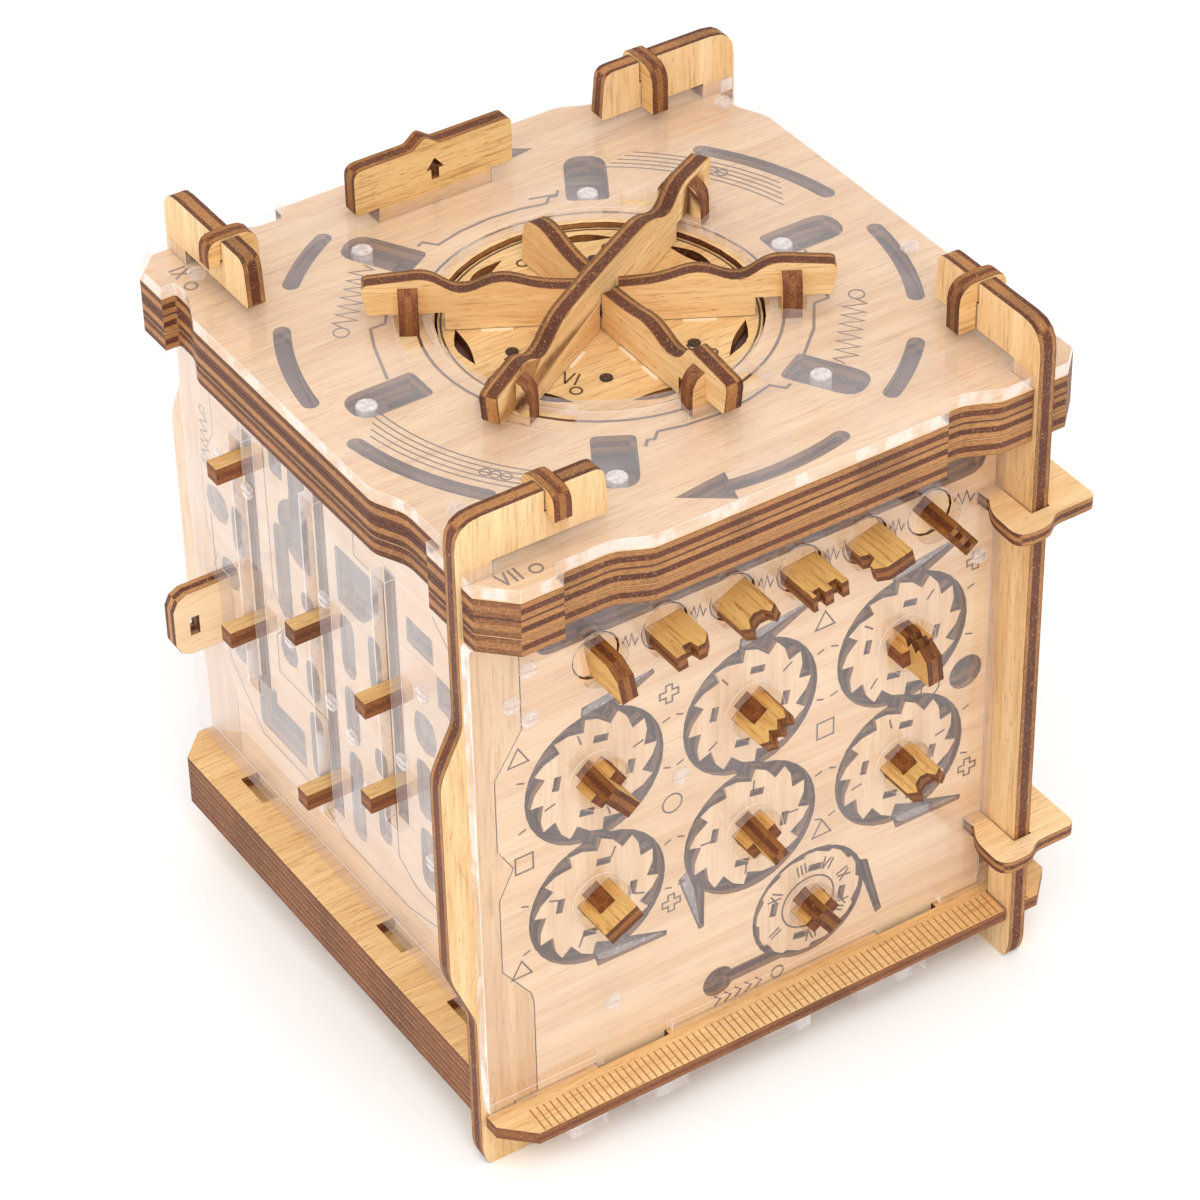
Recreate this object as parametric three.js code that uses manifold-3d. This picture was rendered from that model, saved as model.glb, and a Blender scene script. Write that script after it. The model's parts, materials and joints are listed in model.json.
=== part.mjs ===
// Laser-cut mechanical puzzle box: a plywood cube faced with clear acrylic sheets, held
// together by four C-shaped corner clamps, with a star turn-handle on the lid, ratchet dials
// and keys on the front and sliding blocks on the left.
//
// Frame: millimetres, +Z up, resting on the clamp feet at z = 0. The dial face looks along -Y,
// the slider face along -X. The four sides and the four clamps repeat by quarter turns.

import * as THREE from "three";
import { mergeVertices } from "three/addons/utils/BufferGeometryUtils.js";
import ManifoldModule from "manifold-3d";

// ---------------------------------------------------------------- driving dimensions

const PLY = 4.0; // sheet stock of the lid, walls, clamps and star
const THIN_PLY = 3.0; // sheet stock of the base and the collars
const ACRYLIC = 2.8; // clear cover sheets
const BOARD = 2.0; // grey board behind the pierced panels
const FIT = 0.25; // gap between sheets that lie on each other
const SLIP = 0.3; // clearance around tabs, slots and moving pieces
const CUT = 1.0; // how far a cutting solid runs past the sheet it cuts

const HALF = 70.0; // half the side of the lid and of the base
const CHAMFER = 6.5; // cut corners of the lid and of the base
const TOP = 154.0; // upper face of the lid cover
const FOOT_ARM = 7.75; // upper face of the clamps' lower arms

const COVER_FACE = 62.5; // outer face of the side covers, from the centre
const COVER_BACK = COVER_FACE - ACRYLIC;
const PANEL_FACE = COVER_BACK - FIT;
const PANEL_BACK = PANEL_FACE - PLY;
const PANEL_RIGHT = PANEL_BACK - FIT;
const PANEL_LEFT = -(COVER_FACE + FIT);
const SPINE_OUT = -71.0;
const SPINE_IN = PANEL_LEFT - FIT;

// heights of the stacked sheets, from the bottom up
const BASE_COVER_Z = FOOT_ARM + FIT;
const FOOT_SHEET_Z = BASE_COVER_Z + ACRYLIC + FIT;
const BASE_Z = [1, 2, 3].map((n) => FOOT_SHEET_Z + n * (THIN_PLY + FIT));
const BASE_TOP = BASE_Z[2] + THIN_PLY;
const LID_COVER_Z = TOP - ACRYLIC;
const LID_TOP_Z = LID_COVER_Z - FIT - PLY;
const LID_MIDDLE_Z = LID_TOP_Z - FIT - PLY;
const LID_BOTTOM_Z = LID_MIDDLE_Z - FIT - PLY;
const WALL_TOP = LID_BOTTOM_Z - FIT;

// star handle, its disc and the six lock bolts
const COVER_OPENING = 34.0;
const LID_OPENING = 33.2;
const DISC_RADIUS = 32.7;
const DISC_TOP = TOP - 4.1;
const HUB_RADIUS = 26.0;
const STAR_ARMS = [30, 150, 210, 270, 330]; // angles of the arms that carry a cross tab
const STAR_REACH = 47.5;
const STAR_STEP = 31.0;
const TAB_AT = 38.2;
const TAB_HALF = 5.0;
const BOLT_SLOT_WIDTH = 9.0;
const BOLT_SLOT_FROM = 41.5;
const BOLT_SLOT_TO = 58.5;
const BOLT_PIN = 2.3;
const BOLT_IN = 44.5; // distances of a bolt's post from the centre
const BOLT_OUT = 54.5;
const BOLTS = [
  { angle: 0, pin: BOLT_IN, open: BOLT_OUT },
  { angle: 60, pin: BOLT_IN, open: BOLT_OUT },
  { angle: 120, pin: BOLT_OUT, open: BOLT_IN },
  { angle: 180, pin: BOLT_OUT, open: BOLT_IN },
  { angle: 240, pin: BOLT_OUT, open: BOLT_IN },
  { angle: 300, pin: BOLT_IN + 4, open: BOLT_OUT },
];
const BOLT_LENGTH = 12.0;
const CAM_RADIUS = 60.4;
const CAM_TURN = 11.0; // degrees the handle turns anticlockwise from rest to its stop

// front face, measured down from the lid cover
const DIAL_RADIUS = 16.3;
const DIAL_COLUMNS = [-41.7, -4.5, 33.0];
const DIAL_ROWS = [TOP - 62.5, TOP - 94.5];
const SMALL_DIAL = { x: 10.4, z: TOP - 122.4, hole: 14.2, radius: 13.2 };
const TEETH = 12;
const HUB_HOLE = 6.2;
const HANDLE_REACH = 70.4; // how far the dial handles and keys stand out, from the centre
const KEY_COLUMNS = [-40.8, -24.9, -9.0, 6.9, 22.8, 38.7];
const KEY_Z = TOP - 32.6;
const KEY_HOLE = 5.8;
const KEY_BARREL = 5.2;
const AXLE = 2.6;

// left face: three vertical slots, two sliding blocks in each
const SLIDER_SLOTS = [
  { x: -42.5, from: TOP - 100, to: TOP - 33, blocks: [TOP - 40, TOP - 83] },
  { x: -13.5, from: TOP - 116, to: TOP - 31, blocks: [TOP - 63, TOP - 107.5] },
  { x: 14.2, from: TOP - 98, to: TOP - 33, blocks: [TOP - 63.5, TOP - 88.5] },
];
const BLOCK = 4.0; // side of a block's square stem
const BLOCK_REACH = 68.2; // how far the blocks stand out, from the centre
const SHOE = 8.0; // side of the square shoe that holds a block behind the panel
const SHOE_DEPTH = 3.6;

// ---------------------------------------------------------------- solids

const manifold = await ManifoldModule();
manifold.setup();

function toManifold(geometry) {
  const bare = new THREE.BufferGeometry();
  bare.setAttribute("position", geometry.getAttribute("position").clone());
  if (geometry.index) bare.setIndex(geometry.index.clone());
  const welded = mergeVertices(bare, 1e-4);
  const mesh = new manifold.Mesh({
    numProp: 3,
    vertProperties: new Float32Array(welded.getAttribute("position").array),
    triVerts: new Uint32Array(welded.index.array),
  });
  mesh.merge();
  return new manifold.Manifold(mesh);
}

function toGeometry(solid) {
  const mesh = solid.getMesh();
  const geometry = new THREE.BufferGeometry();
  geometry.setAttribute("position", new THREE.BufferAttribute(mesh.vertProperties, 3));
  geometry.setIndex(new THREE.BufferAttribute(mesh.triVerts, 1));
  geometry.computeVertexNormals();
  return geometry;
}

function carve(body, cutters) {
  const solid = cutters.reduce((rest, cutter) => rest.subtract(toManifold(cutter)), toManifold(body));
  return toGeometry(solid);
}

function join(...bodies) {
  const solid = bodies.map(toManifold).reduce((all, body) => all.add(body));
  return toGeometry(solid);
}

// A flat sheet: the outline lies in local x, y and the sheet runs up from z = from.
function sheet(outline, from, thickness, segments = 10) {
  const geometry = new THREE.ExtrudeGeometry(outline, {
    depth: thickness,
    bevelEnabled: false,
    curveSegments: segments,
  });
  return geometry.translate(0, 0, from);
}

// The same sheet standing up: outline x, y become x, z, and it spans y = back down to y = front.
function upright(outline, back, front, segments = 10) {
  return sheet(outline, 0, back - front, segments).rotateX(Math.PI / 2).translate(0, back, 0);
}

// A standing sheet across that: outline x, y become y, z, and it spans x = from to x = to.
function crosswise(outline, from, to, segments = 10) {
  const geometry = sheet(outline, 0, to - from, segments);
  return geometry.rotateX(Math.PI / 2).rotateZ(Math.PI / 2).translate(from, 0, 0);
}

// ---------------------------------------------------------------- outlines

function polygon(points) {
  return new THREE.Shape(points.map(([x, y]) => new THREE.Vector2(x, y)));
}

function rectangle(left, bottom, right, top) {
  return polygon([
    [left, bottom],
    [right, bottom],
    [right, top],
    [left, top],
  ]);
}

function circle(x, y, radius) {
  const shape = new THREE.Shape();
  shape.absarc(x, y, radius, 0, 2 * Math.PI, false);
  return shape;
}

// A polygon whose corners are rounded, each by its own radius or by one for all.
function rounded(points, radius) {
  const shape = new THREE.Shape();
  const count = points.length;
  for (let i = 0; i < count; i += 1) {
    const corner = new THREE.Vector2(points[i][0], points[i][1]);
    const before = new THREE.Vector2(...points[(i + count - 1) % count].slice(0, 2));
    const after = new THREE.Vector2(...points[(i + 1) % count].slice(0, 2));
    const reach = 0.49 * Math.min(corner.distanceTo(before), corner.distanceTo(after));
    const r = Math.min(points[i][2] ?? radius, reach);
    const start = corner.clone().add(before.clone().sub(corner).setLength(r));
    const end = corner.clone().add(after.clone().sub(corner).setLength(r));
    if (i === 0) shape.moveTo(start.x, start.y);
    else shape.lineTo(start.x, start.y);
    if (r > 0) shape.quadraticCurveTo(corner.x, corner.y, end.x, end.y);
  }
  shape.closePath();
  return shape;
}

function roundedBox(left, bottom, right, top, radius) {
  const corners = [
    [left, bottom],
    [right, bottom],
    [right, top],
    [left, top],
  ];
  return rounded(corners, radius);
}

function polar(radius, degrees) {
  const angle = THREE.MathUtils.degToRad(degrees);
  return [radius * Math.cos(angle), radius * Math.sin(angle)];
}

function turned(points, degrees) {
  const angle = THREE.MathUtils.degToRad(degrees);
  const [c, s] = [Math.cos(angle), Math.sin(angle)];
  return points.map(([x, y, ...rest]) => [x * c - y * s, x * s + y * c, ...rest]);
}

// A band along a circle about the centre, with rounded ends.
function arcSlot(radius, width, from, to) {
  const shape = new THREE.Shape();
  const [start, end] = [from, to].map(THREE.MathUtils.degToRad);
  const cap = width / 2;
  shape.absarc(0, 0, radius + cap, start, end, false);
  shape.absarc(...polar(radius, to), cap, end, end + Math.PI, false);
  shape.absarc(0, 0, radius - cap, end, start, true);
  shape.absarc(...polar(radius, from), cap, start + Math.PI, start + 2 * Math.PI, false);
  return shape;
}

// The lid's edge: a square with cut corners and, on each side, one long and one short decorative
// notch. A notch has a square end and an end that eases out in a curve.
const NOTCH = 3.4;
const EASE = 3.5;

function notch(square, eased) {
  const run = Math.sign(eased - square);
  return [
    [square, 0, 0],
    [square, NOTCH, 0.8],
    [eased - run * 2 * EASE, NOTCH, 2],
    [eased - run * EASE, NOTCH / 2, 0],
    [eased, 0, 1.5],
  ];
}

// Edge points of one side, as [along, depth, radius], from its start to its end.
function sideOfLid(notches) {
  const ordered = notches.map(([square, eased]) => {
    const points = notch(square, eased);
    return square < eased ? points : points.reverse();
  });
  return ordered.sort((a, b) => a[0][0] - b[0][0]).flat();
}

function lidOutline() {
  const front = sideOfLid([[-54, -34], [34.5, 47.5]]);
  const right = sideOfLid([[-28, -47], [54.5, 41.5]]);
  const back = sideOfLid([[-53, -35], [34.5, 47.5]]);
  const left = sideOfLid([[-54.5, -41.5], [47.5, 27.5]]);
  const ends = [[-HALF + CHAMFER, 0, 0], [HALF - CHAMFER, 0, 0]];
  const points = [front, right, back, left].flatMap((side, k) => {
    const edge = [ends[0], ...side, ends[1]];
    return turned(edge.map(([along, depth, r]) => [along, depth - HALF, r]), 90 * k);
  });
  return rounded(points, 0);
}

function baseOutline(front = -HALF) {
  const cut = HALF - CHAMFER;
  const far = [[HALF, cut], [cut, HALF], [-cut, HALF], [-HALF, cut]];
  if (front > -HALF) return polygon([[-HALF, front], [HALF, front], ...far]);
  return polygon([[-HALF, -cut], [-cut, -HALF], [cut, -HALF], [HALF, -cut], ...far]);
}

// The slots at the four corners that the clamp spines stand in.
function spineSlots(from, thickness) {
  const far = HALF + CUT;
  const slot = rectangle(-far, -PANEL_FACE - SLIP, SPINE_IN + SLIP, -PANEL_BACK + SLIP);
  return [0, 1, 2, 3].map((k) => {
    return sheet(slot, from - CUT, thickness + 2 * CUT).rotateZ((-k * Math.PI) / 2);
  });
}

// ---------------------------------------------------------------- materials and scene

const root = new THREE.Group();
const sides = [0, 1, 2, 3].map((k) => {
  const side = new THREE.Group();
  side.rotation.z = (-k * Math.PI) / 2;
  root.add(side);
  return side;
});
const [FRONT, LEFT, BACK, RIGHT] = sides;
const CORNERS = ["front_left", "back_left", "back_right", "front_right"];

const birch = new THREE.MeshStandardMaterial({ color: 0xdcae72, roughness: 0.6, metalness: 0 });
const pale = new THREE.MeshStandardMaterial({ color: 0xe6c79c, roughness: 0.6, metalness: 0 });
const grey = new THREE.MeshStandardMaterial({ color: 0x6f6467, roughness: 0.8, metalness: 0 });
const clear = new THREE.MeshStandardMaterial({
  color: 0xeef2f2,
  roughness: 0.05,
  metalness: 0,
  transparent: true,
  opacity: 0.35,
});

function add(name, geometry, material, parent = root) {
  const mesh = new THREE.Mesh(geometry, material.clone());
  mesh.name = name;
  parent.add(mesh);
  return mesh;
}

// ---------------------------------------------------------------- base

// Tabs under the walls, as [left, right] along each wall; the base sheets have slots for them.
const FRONT_TABS = [[-43, -26], [28, 43]];
const SIDE_TABS = [[-50, -41], [7.4, 17], [35.6, 43.6]];
const TAB_DEPTH = THIN_PLY - 0.2;
const FRONT_SLIT = 1.3; // open slit left in front of the front wall's tabs
const SIDE_SLIT = 4.4; // the same at the other walls, where it shows in front of the cover

function tabSlots(tabs, turns, from, slit) {
  return tabs.map(([left, right]) => {
    const slot = rectangle(left - SLIP, -PANEL_FACE - slit, right + SLIP, -PANEL_BACK + SLIP);
    return sheet(slot, from - CUT, THIN_PLY + 2 * CUT).rotateZ((-turns * Math.PI) / 2);
  });
}

// The clear sheet under the base: set back from the edge, with short tabs along the front.
const BASE_COVER_HALF = 66.2;
const BASE_COVER_TABS = [[-56, -47], [-40, -27], [-8, 4], [16, 34]];

function baseCoverOutline() {
  const [side, cut] = [BASE_COVER_HALF, BASE_COVER_HALF - CHAMFER];
  const tabs = BASE_COVER_TABS.flatMap(([left, right]) => {
    return [[left, -side], [left, -HALF], [right, -HALF], [right, -side]];
  });
  const far = [[side, cut], [cut, side], [-cut, side], [-side, cut]];
  return polygon([[-side, -cut], [-cut, -side], ...tabs, [cut, -side], [side, -cut], ...far]);
}

function addBase() {
  const coverBlank = sheet(baseCoverOutline(), BASE_COVER_Z, ACRYLIC);
  add("base_cover", carve(coverBlank, spineSlots(BASE_COVER_Z, ACRYLIC)), clear);

  const footCuts = [...spineSlots(FOOT_SHEET_Z, THIN_PLY), ...tabSlots(FRONT_TABS, 0, FOOT_SHEET_Z, FRONT_SLIT)];
  add("foot_sheet", carve(sheet(baseOutline(), FOOT_SHEET_Z, THIN_PLY), footCuts), birch);

  const names = ["base_sheet_lower", "base_sheet_middle", "base_sheet_top"];
  BASE_Z.forEach((z, n) => {
    const cuts = spineSlots(z, THIN_PLY);
    if (n === 2) cuts.push(...[1, 2, 3].flatMap((k) => tabSlots(SIDE_TABS, k, z, SIDE_SLIT)));
    add(names[n], carve(sheet(baseOutline(-PANEL_BACK + SLIP), z, THIN_PLY), cuts), birch);
  });
}

// ---------------------------------------------------------------- walls

// The wavy seam between a clamp's spine and the panel beside it, from the top down, as
// [along, height], without the straight ends that reach lid and base.
const SEAM_END = -57.4;
const SEAM = [
  [-58, -43],
  [-64.5, -53],
  [-64.5, -71],
  [-61, -77],
  [-64.5, -84],
  [-64.5, -103],
  [-58, -112],
].map(([x, z]) => [x, TOP + z]);

// The seam shifted sideways, from the wall's top down to the given height. It is straight at the
// corner with the collars.
function seam(shift, top, bottom, wavy) {
  const wave = wavy ? [[-58, top], ...SEAM, [SEAM_END, SEAM.at(-1)[1] - 3]] : [[SEAM_END, top]];
  return [...wave, [SEAM_END, bottom]].map(([x, z]) => [x + shift, z]);
}

function wallOutline(bottom, tabs, { extra = [], wavy = true } = {}) {
  const points = [];
  for (const [left, right] of tabs) {
    points.push([left, bottom], [left, bottom - TAB_DEPTH], [right, bottom - TAB_DEPTH], [right, bottom]);
  }
  const edge = seam(FIT / 2, WALL_TOP, bottom, wavy);
  return polygon([...points, [PANEL_RIGHT, bottom], ...extra, [PANEL_RIGHT, WALL_TOP], ...edge]);
}

function throughPanel(shape, segments = 10) {
  return upright(shape, -PANEL_BACK + CUT, -PANEL_FACE - CUT, segments);
}

function throughCover(shape, segments = 10) {
  return upright(shape, -COVER_BACK + CUT, -COVER_FACE - CUT, segments);
}

function panel(outline, cutters) {
  return carve(upright(outline, -PANEL_BACK, -PANEL_FACE), cutters);
}

function cover(left, bottom, cutters) {
  const outline = roundedBox(left, bottom, PANEL_RIGHT, WALL_TOP, 1.5);
  return carve(upright(outline, -COVER_BACK, -COVER_FACE, 3), cutters);
}

// ---------------------------------------------------------------- front face

// The opening that a pawl sits in: a thin wedge with its wide end at the ratchet.
function pawlOpening(x, z, degrees, mirror = 1) {
  const wedge = [[-3.2, 13], [-2.6, 18.4], [14, 20.6], [14.4, 19.4], [4.4, 14.5]];
  const points = turned(wedge.map(([u, v]) => [mirror * u, v]), degrees);
  return polygon(points.map(([u, v]) => [x + u, z + v]));
}

const PAWLS = [
  ...DIAL_COLUMNS.map((x) => ({ x, z: DIAL_ROWS[0], turn: 0, mirror: 1 })),
  { x: DIAL_COLUMNS[0], z: DIAL_ROWS[1], turn: 187, mirror: -1 },
  { x: DIAL_COLUMNS[1], z: DIAL_ROWS[1], turn: 115, mirror: -1 },
  { x: DIAL_COLUMNS[2], z: DIAL_ROWS[1], turn: 187, mirror: -1 },
];

// The round hole with a narrow tail, at the foot of the front panel.
function keyholeOpening() {
  const [x, z] = [-12.5, TOP - 133.0];
  const shape = new THREE.Shape();
  shape.absarc(x, z, 3.8, THREE.MathUtils.degToRad(28), THREE.MathUtils.degToRad(332), false);
  shape.lineTo(x + 15.5, z - 1.8);
  shape.absarc(x + 15.5, z, 1.8, -Math.PI / 2, Math.PI / 2, false);
  return shape;
}

const COLLAR_LEFT = 51.0;
const COLLAR_HEIGHTS = [TOP - 32.6 - THIN_PLY, TOP - 119.4 - THIN_PLY];

function collarNotches() {
  return COLLAR_HEIGHTS.map((z) => {
    return rectangle(COLLAR_LEFT - SLIP, z - SLIP, PANEL_RIGHT + CUT, z + THIN_PLY + SLIP);
  });
}

function addFrontWall() {
  const bottom = FOOT_SHEET_Z + THIN_PLY + FIT;
  const longSlot = roundedBox(-54.5, TOP - 27.6, 52.6, TOP - 18.6, 4.4); // just under the lid
  const selectorPawl = polygon([[22.5, TOP - 117], [25.5, TOP - 118], [29.6, TOP - 134], [28, TOP - 134.6]]);
  const sideEye = circle(49.6, TOP - 78.6, 4.2);
  const openings = [
    ...DIAL_COLUMNS.flatMap((x) => DIAL_ROWS.map((z) => throughPanel(circle(x, z, DIAL_RADIUS), 16))),
    ...PAWLS.map((p) => throughPanel(pawlOpening(p.x, p.z, p.turn, p.mirror))),
    throughPanel(circle(SMALL_DIAL.x, SMALL_DIAL.z, SMALL_DIAL.hole), 18),
    throughPanel(selectorPawl),
    ...KEY_COLUMNS.map((x) => throughPanel(circle(x, KEY_Z, KEY_BARREL + SLIP), 8)),
    throughPanel(keyholeOpening(), 8),
    throughPanel(sideEye, 8),
    throughPanel(longSlot, 5),
    ...collarNotches().map((shape) => throughPanel(shape)),
  ];
  add("front_panel", panel(wallOutline(bottom, FRONT_TABS), openings), pale, FRONT);

  const axleHoles = dialPlaces().concat(KEY_COLUMNS.map((x) => ({ x, z: KEY_Z })));
  const boardCuts = axleHoles.map(({ x, z }) => {
    return upright(circle(x, z, AXLE + SLIP), -PANEL_BACK + BOARD + 2 * CUT, -PANEL_BACK - CUT, 5);
  });
  const boardOutline = rectangle(-54.8, BASE_TOP + FIT, 50.4, WALL_TOP);
  const board = upright(boardOutline, -PANEL_RIGHT + BOARD, -PANEL_RIGHT);
  add("front_backboard", carve(board, boardCuts), grey, FRONT);

  const holes = [
    ...dialPlaces().map(({ x, z, hub }) => throughCover(circle(x, z, hub), 8)),
    ...KEY_COLUMNS.map((x) => throughCover(circle(x, KEY_Z, KEY_HOLE), 8)),
    ...collarNotches().map((shape) => throughCover(shape)),
    ...FRONT_TABS.map(([l, r]) => throughCover(rectangle(l, bottom - CUT, r, bottom + 4.4))),
  ];
  add("front_cover", cover(SPINE_OUT + 0.2, bottom + 2.2, holes), clear, FRONT);
}

// ---------------------------------------------------------------- dials and keys

function dialPlaces() {
  const large = DIAL_ROWS.flatMap((z) => DIAL_COLUMNS.map((x) => ({ x, z, hub: HUB_HOLE })));
  return [...large, { x: SMALL_DIAL.x, z: SMALL_DIAL.z, hub: 5.4 }];
}

// Each handle's outline, seen on its flat: across the hub, and outward from the wheel.
const WIDE = 4.3;
const REACH = HANDLE_REACH - PANEL_FACE;
const HANDLE_ENDS = {
  plain: [[WIDE, REACH - 1], [-WIDE, REACH - 1]],
  short: [[WIDE - 0.8, REACH - 3.6], [-WIDE + 0.8, REACH - 3.6]],
  slant: [[WIDE, REACH - 3], [WIDE - 2.5, REACH], [-WIDE, REACH]],
  notch: [[WIDE, REACH - 2], [2.4, REACH], [0.6, REACH], [0.2, REACH - 2.2], [-1.6, REACH - 2.2],
    [-2, REACH], [-WIDE, REACH]],
  fork: [[WIDE, REACH - 1], [2.6, REACH], [1.6, REACH - 2], [0, REACH - 2.6], [-1.6, REACH - 2],
    [-2.6, REACH], [-WIDE, REACH - 1.6]],
  comb: [[WIDE, REACH], [2.6, REACH], [2.6, REACH - 2], [0.6, REACH - 2], [0.6, REACH], [-1.4, REACH],
    [-1.4, REACH - 2], [-3.2, REACH - 2], [-3.2, REACH], [-WIDE, REACH]],
  bite: [[WIDE, REACH], [-2, REACH], [-WIDE, REACH - 1.6], [-WIDE, REACH - 3], [-2.4, REACH - 4],
    [-2.4, REACH - 5.4], [-WIDE, REACH - 6.4]],
  saw: [[WIDE, REACH - 7], [WIDE - 1.8, REACH - 6], [WIDE, REACH - 5], [WIDE - 1.8, REACH - 3.6],
    [WIDE, REACH - 2.4], [WIDE - 2, REACH], [-WIDE, REACH]],
  bumps: [[WIDE, REACH - 2.6], [3.2, REACH - 0.8], [1.8, REACH - 2.2], [0.4, REACH - 0.4],
    [-1, REACH - 2], [-2.4, REACH], [-WIDE, REACH - 1.4]],
  taper: [[WIDE, REACH - 7.4], [1.6, REACH - 0.6], [0.9, REACH], [-0.9, REACH], [-1.6, REACH - 0.6],
    [-WIDE, REACH - 7.4]],
};

function handlePlate(end, foot, thickness) {
  const outline = polygon([[-WIDE, -foot], [WIDE, -foot], ...HANDLE_ENDS[end]]);
  return sheet(outline, -thickness / 2, thickness);
}

const WINDOWS_AT = 78; // degrees from the face's rightward direction

// The wheel's ratchet edge: each tooth rises slowly and drops at once.
function ratchet(tip, root) {
  const points = [];
  for (let tooth = 0; tooth < TEETH; tooth += 1) {
    const at = (tooth * 360) / TEETH;
    points.push(polar(root, at), polar((root + tip) / 2 + 0.3, at + 14), polar(tip, at + 27));
  }
  return polygon(points);
}

// Local frame of a dial or key: its axis is local z, which points outward from the face.
function addTurning(name, geometry, x, z, degrees, material) {
  const mesh = add(name, geometry, material, FRONT);
  mesh.position.set(x, -PANEL_FACE, z);
  mesh.rotation.set(Math.PI / 2, 0, 0);
  mesh.rotateZ(THREE.MathUtils.degToRad(degrees));
}

// The plates of a handle stand on the wheel, with the plate's own outward axis along local z.
function standing(plate) {
  return plate.rotateX(Math.PI / 2);
}

// A ratchet wheel with a cross-shaped handle. Whatever the handle's turn, the wheel's four small
// windows stand at the same angle on the face.
function dial(tip, root, end, turn) {
  const wheel = sheet(ratchet(tip, root), -PLY + SLIP / 2, PLY - SLIP);
  const main = standing(handlePlate(end, 2, PLY - 0.2));
  const braceOutline = rectangle(-WIDE + 0.4, -2, WIDE - 0.4, 5.2);
  const brace = standing(sheet(braceOutline, -PLY / 2, PLY)).rotateZ(Math.PI / 2);
  const axle = sheet(circle(0, 0, AXLE), -PLY - BOARD, BOARD + 1, 6);
  const windows = [0, 90, 180, 270].map((at) => {
    const window = turned([[8, -1.7], [9.6, -1.7], [9.6, 1.7], [8, 1.7]], at + WINDOWS_AT - turn);
    return sheet(polygon(window), -PLY - CUT, PLY + 2 * CUT);
  });
  return join(carve(wheel, windows), main, brace, axle);
}

// [handle end, angle of the handle's flat at rest]
const DIALS = [
  ["plain", 130], ["bumps", 38], ["saw", 97], ["plain", 28], ["taper", 118], ["fork", 28],
];
const KEYS = [["slant", 100], ["notch", 8], ["fork", 25], ["comb", 6], ["bite", 15], ["comb", 128]];

function addDials() {
  const places = dialPlaces();
  DIALS.forEach(([end, angle], n) => {
    const body = dial(DIAL_RADIUS - 1.3, DIAL_RADIUS - 4.2, end, angle);
    addTurning(`dial_${n + 1}`, body, places[n].x, places[n].z, angle, pale);
  });
  const selectorAngle = 125;
  const small = dial(SMALL_DIAL.radius, SMALL_DIAL.radius - 0.8, "short", selectorAngle);
  addTurning("selector_dial", small, SMALL_DIAL.x, SMALL_DIAL.z, selectorAngle, pale);
}

function addKeys() {
  KEYS.forEach(([end, angle], n) => {
    const barrel = sheet(circle(0, 0, KEY_BARREL), -PLY + SLIP / 2, PLY - SLIP, 8);
    const blade = standing(handlePlate(end, 2, PLY - 0.2));
    const axle = sheet(circle(0, 0, AXLE), -PLY - BOARD, BOARD + 1, 6);
    addTurning(`key_${n + 1}`, join(barrel, blade, axle), KEY_COLUMNS[n], KEY_Z, angle, birch);
  });
}

// ---------------------------------------------------------------- left face

// Openings of the slider maze, as boxes [left, bottom, right, top, corner radius], heights
// measured down from the lid cover.
const MAZE = [
  [-63.4, -66, -54, -57.5, 4.2], [-52.6, -70, -47.6, -57.5, 2.4], [-59, -82, -51.4, -74.2, 3.8],
  [-57, -101, -49.6, -89.5, 3.6], [-33.6, -37.4, -28.4, -31, 1.2], [-34, -74, -28, -50, 2.6],
  [-34.5, -87, -27.5, -79, 3.4], [-24, -67, -18.6, -62, 2], [-24, -90.5, -18.6, -80, 2.4],
  [-24, -112, -18.6, -94, 2.4], [-7.8, -73, -2.4, -57, 2.6], [-7.8, -90.5, -2.4, -76, 2.4],
  [-7.8, -117, -2.4, -93.5, 2.4], [3.4, -70, 8.4, -55.4, 2.4], [3.4, -92, 8.4, -85, 2.2],
  [3.4, -110, 8.4, -95, 2.2], [20.6, -72.4, 29, -62.4, 3.9], [20.6, -90.6, 26.4, -75.6, 2.4],
  [20.6, -110, 26.4, -94, 2.4], [19.6, -47, 29.4, -40.5, 0.6],
];

// Larger openings of the maze, as rounded polygons in the same measure.
const MAZE_SHAPES = [
  [
    [-25, -56, 2],
    [-31.5, -51, 3],
    [-31.5, -44, 3],
    [-26, -40, 1],
    [-26, -32, 1],
    [-19, -32, 1],
    [-19, -56, 1],
  ],
  [
    [-8, -54.5, 1],
    [-8, -40, 1],
    [8.8, -40, 1],
    [8.8, -47, 1],
    [2, -54.5, 2],
  ],
  [
    [-46.5, -113, 1],
    [-46.5, -99.5, 1],
    [-38.5, -99.5, 0.5],
    [-38.5, -102.8, 0.5],
    [-27, -102.8, 1],
    [-27, -113, 1],
  ],
  [
    [30.5, -48.5, 0.6],
    [37, -48.5, 3],
    [42.5, -54, 3],
    [42.5, -71, 1],
    [37.4, -71, 1],
    [37.4, -60, 2],
    [34, -56.5, 1],
    [30.5, -56.5, 0.6],
  ],
];

const TENON = { bottom: TOP - 95.4, top: TOP - 79.2, reach: 73.8 };

function tenonSlot(clearance) {
  const [left, right] = [-PANEL_FACE - clearance, -PANEL_BACK + clearance];
  return rectangle(left, TENON.bottom - clearance, right, TENON.top + clearance);
}

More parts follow.
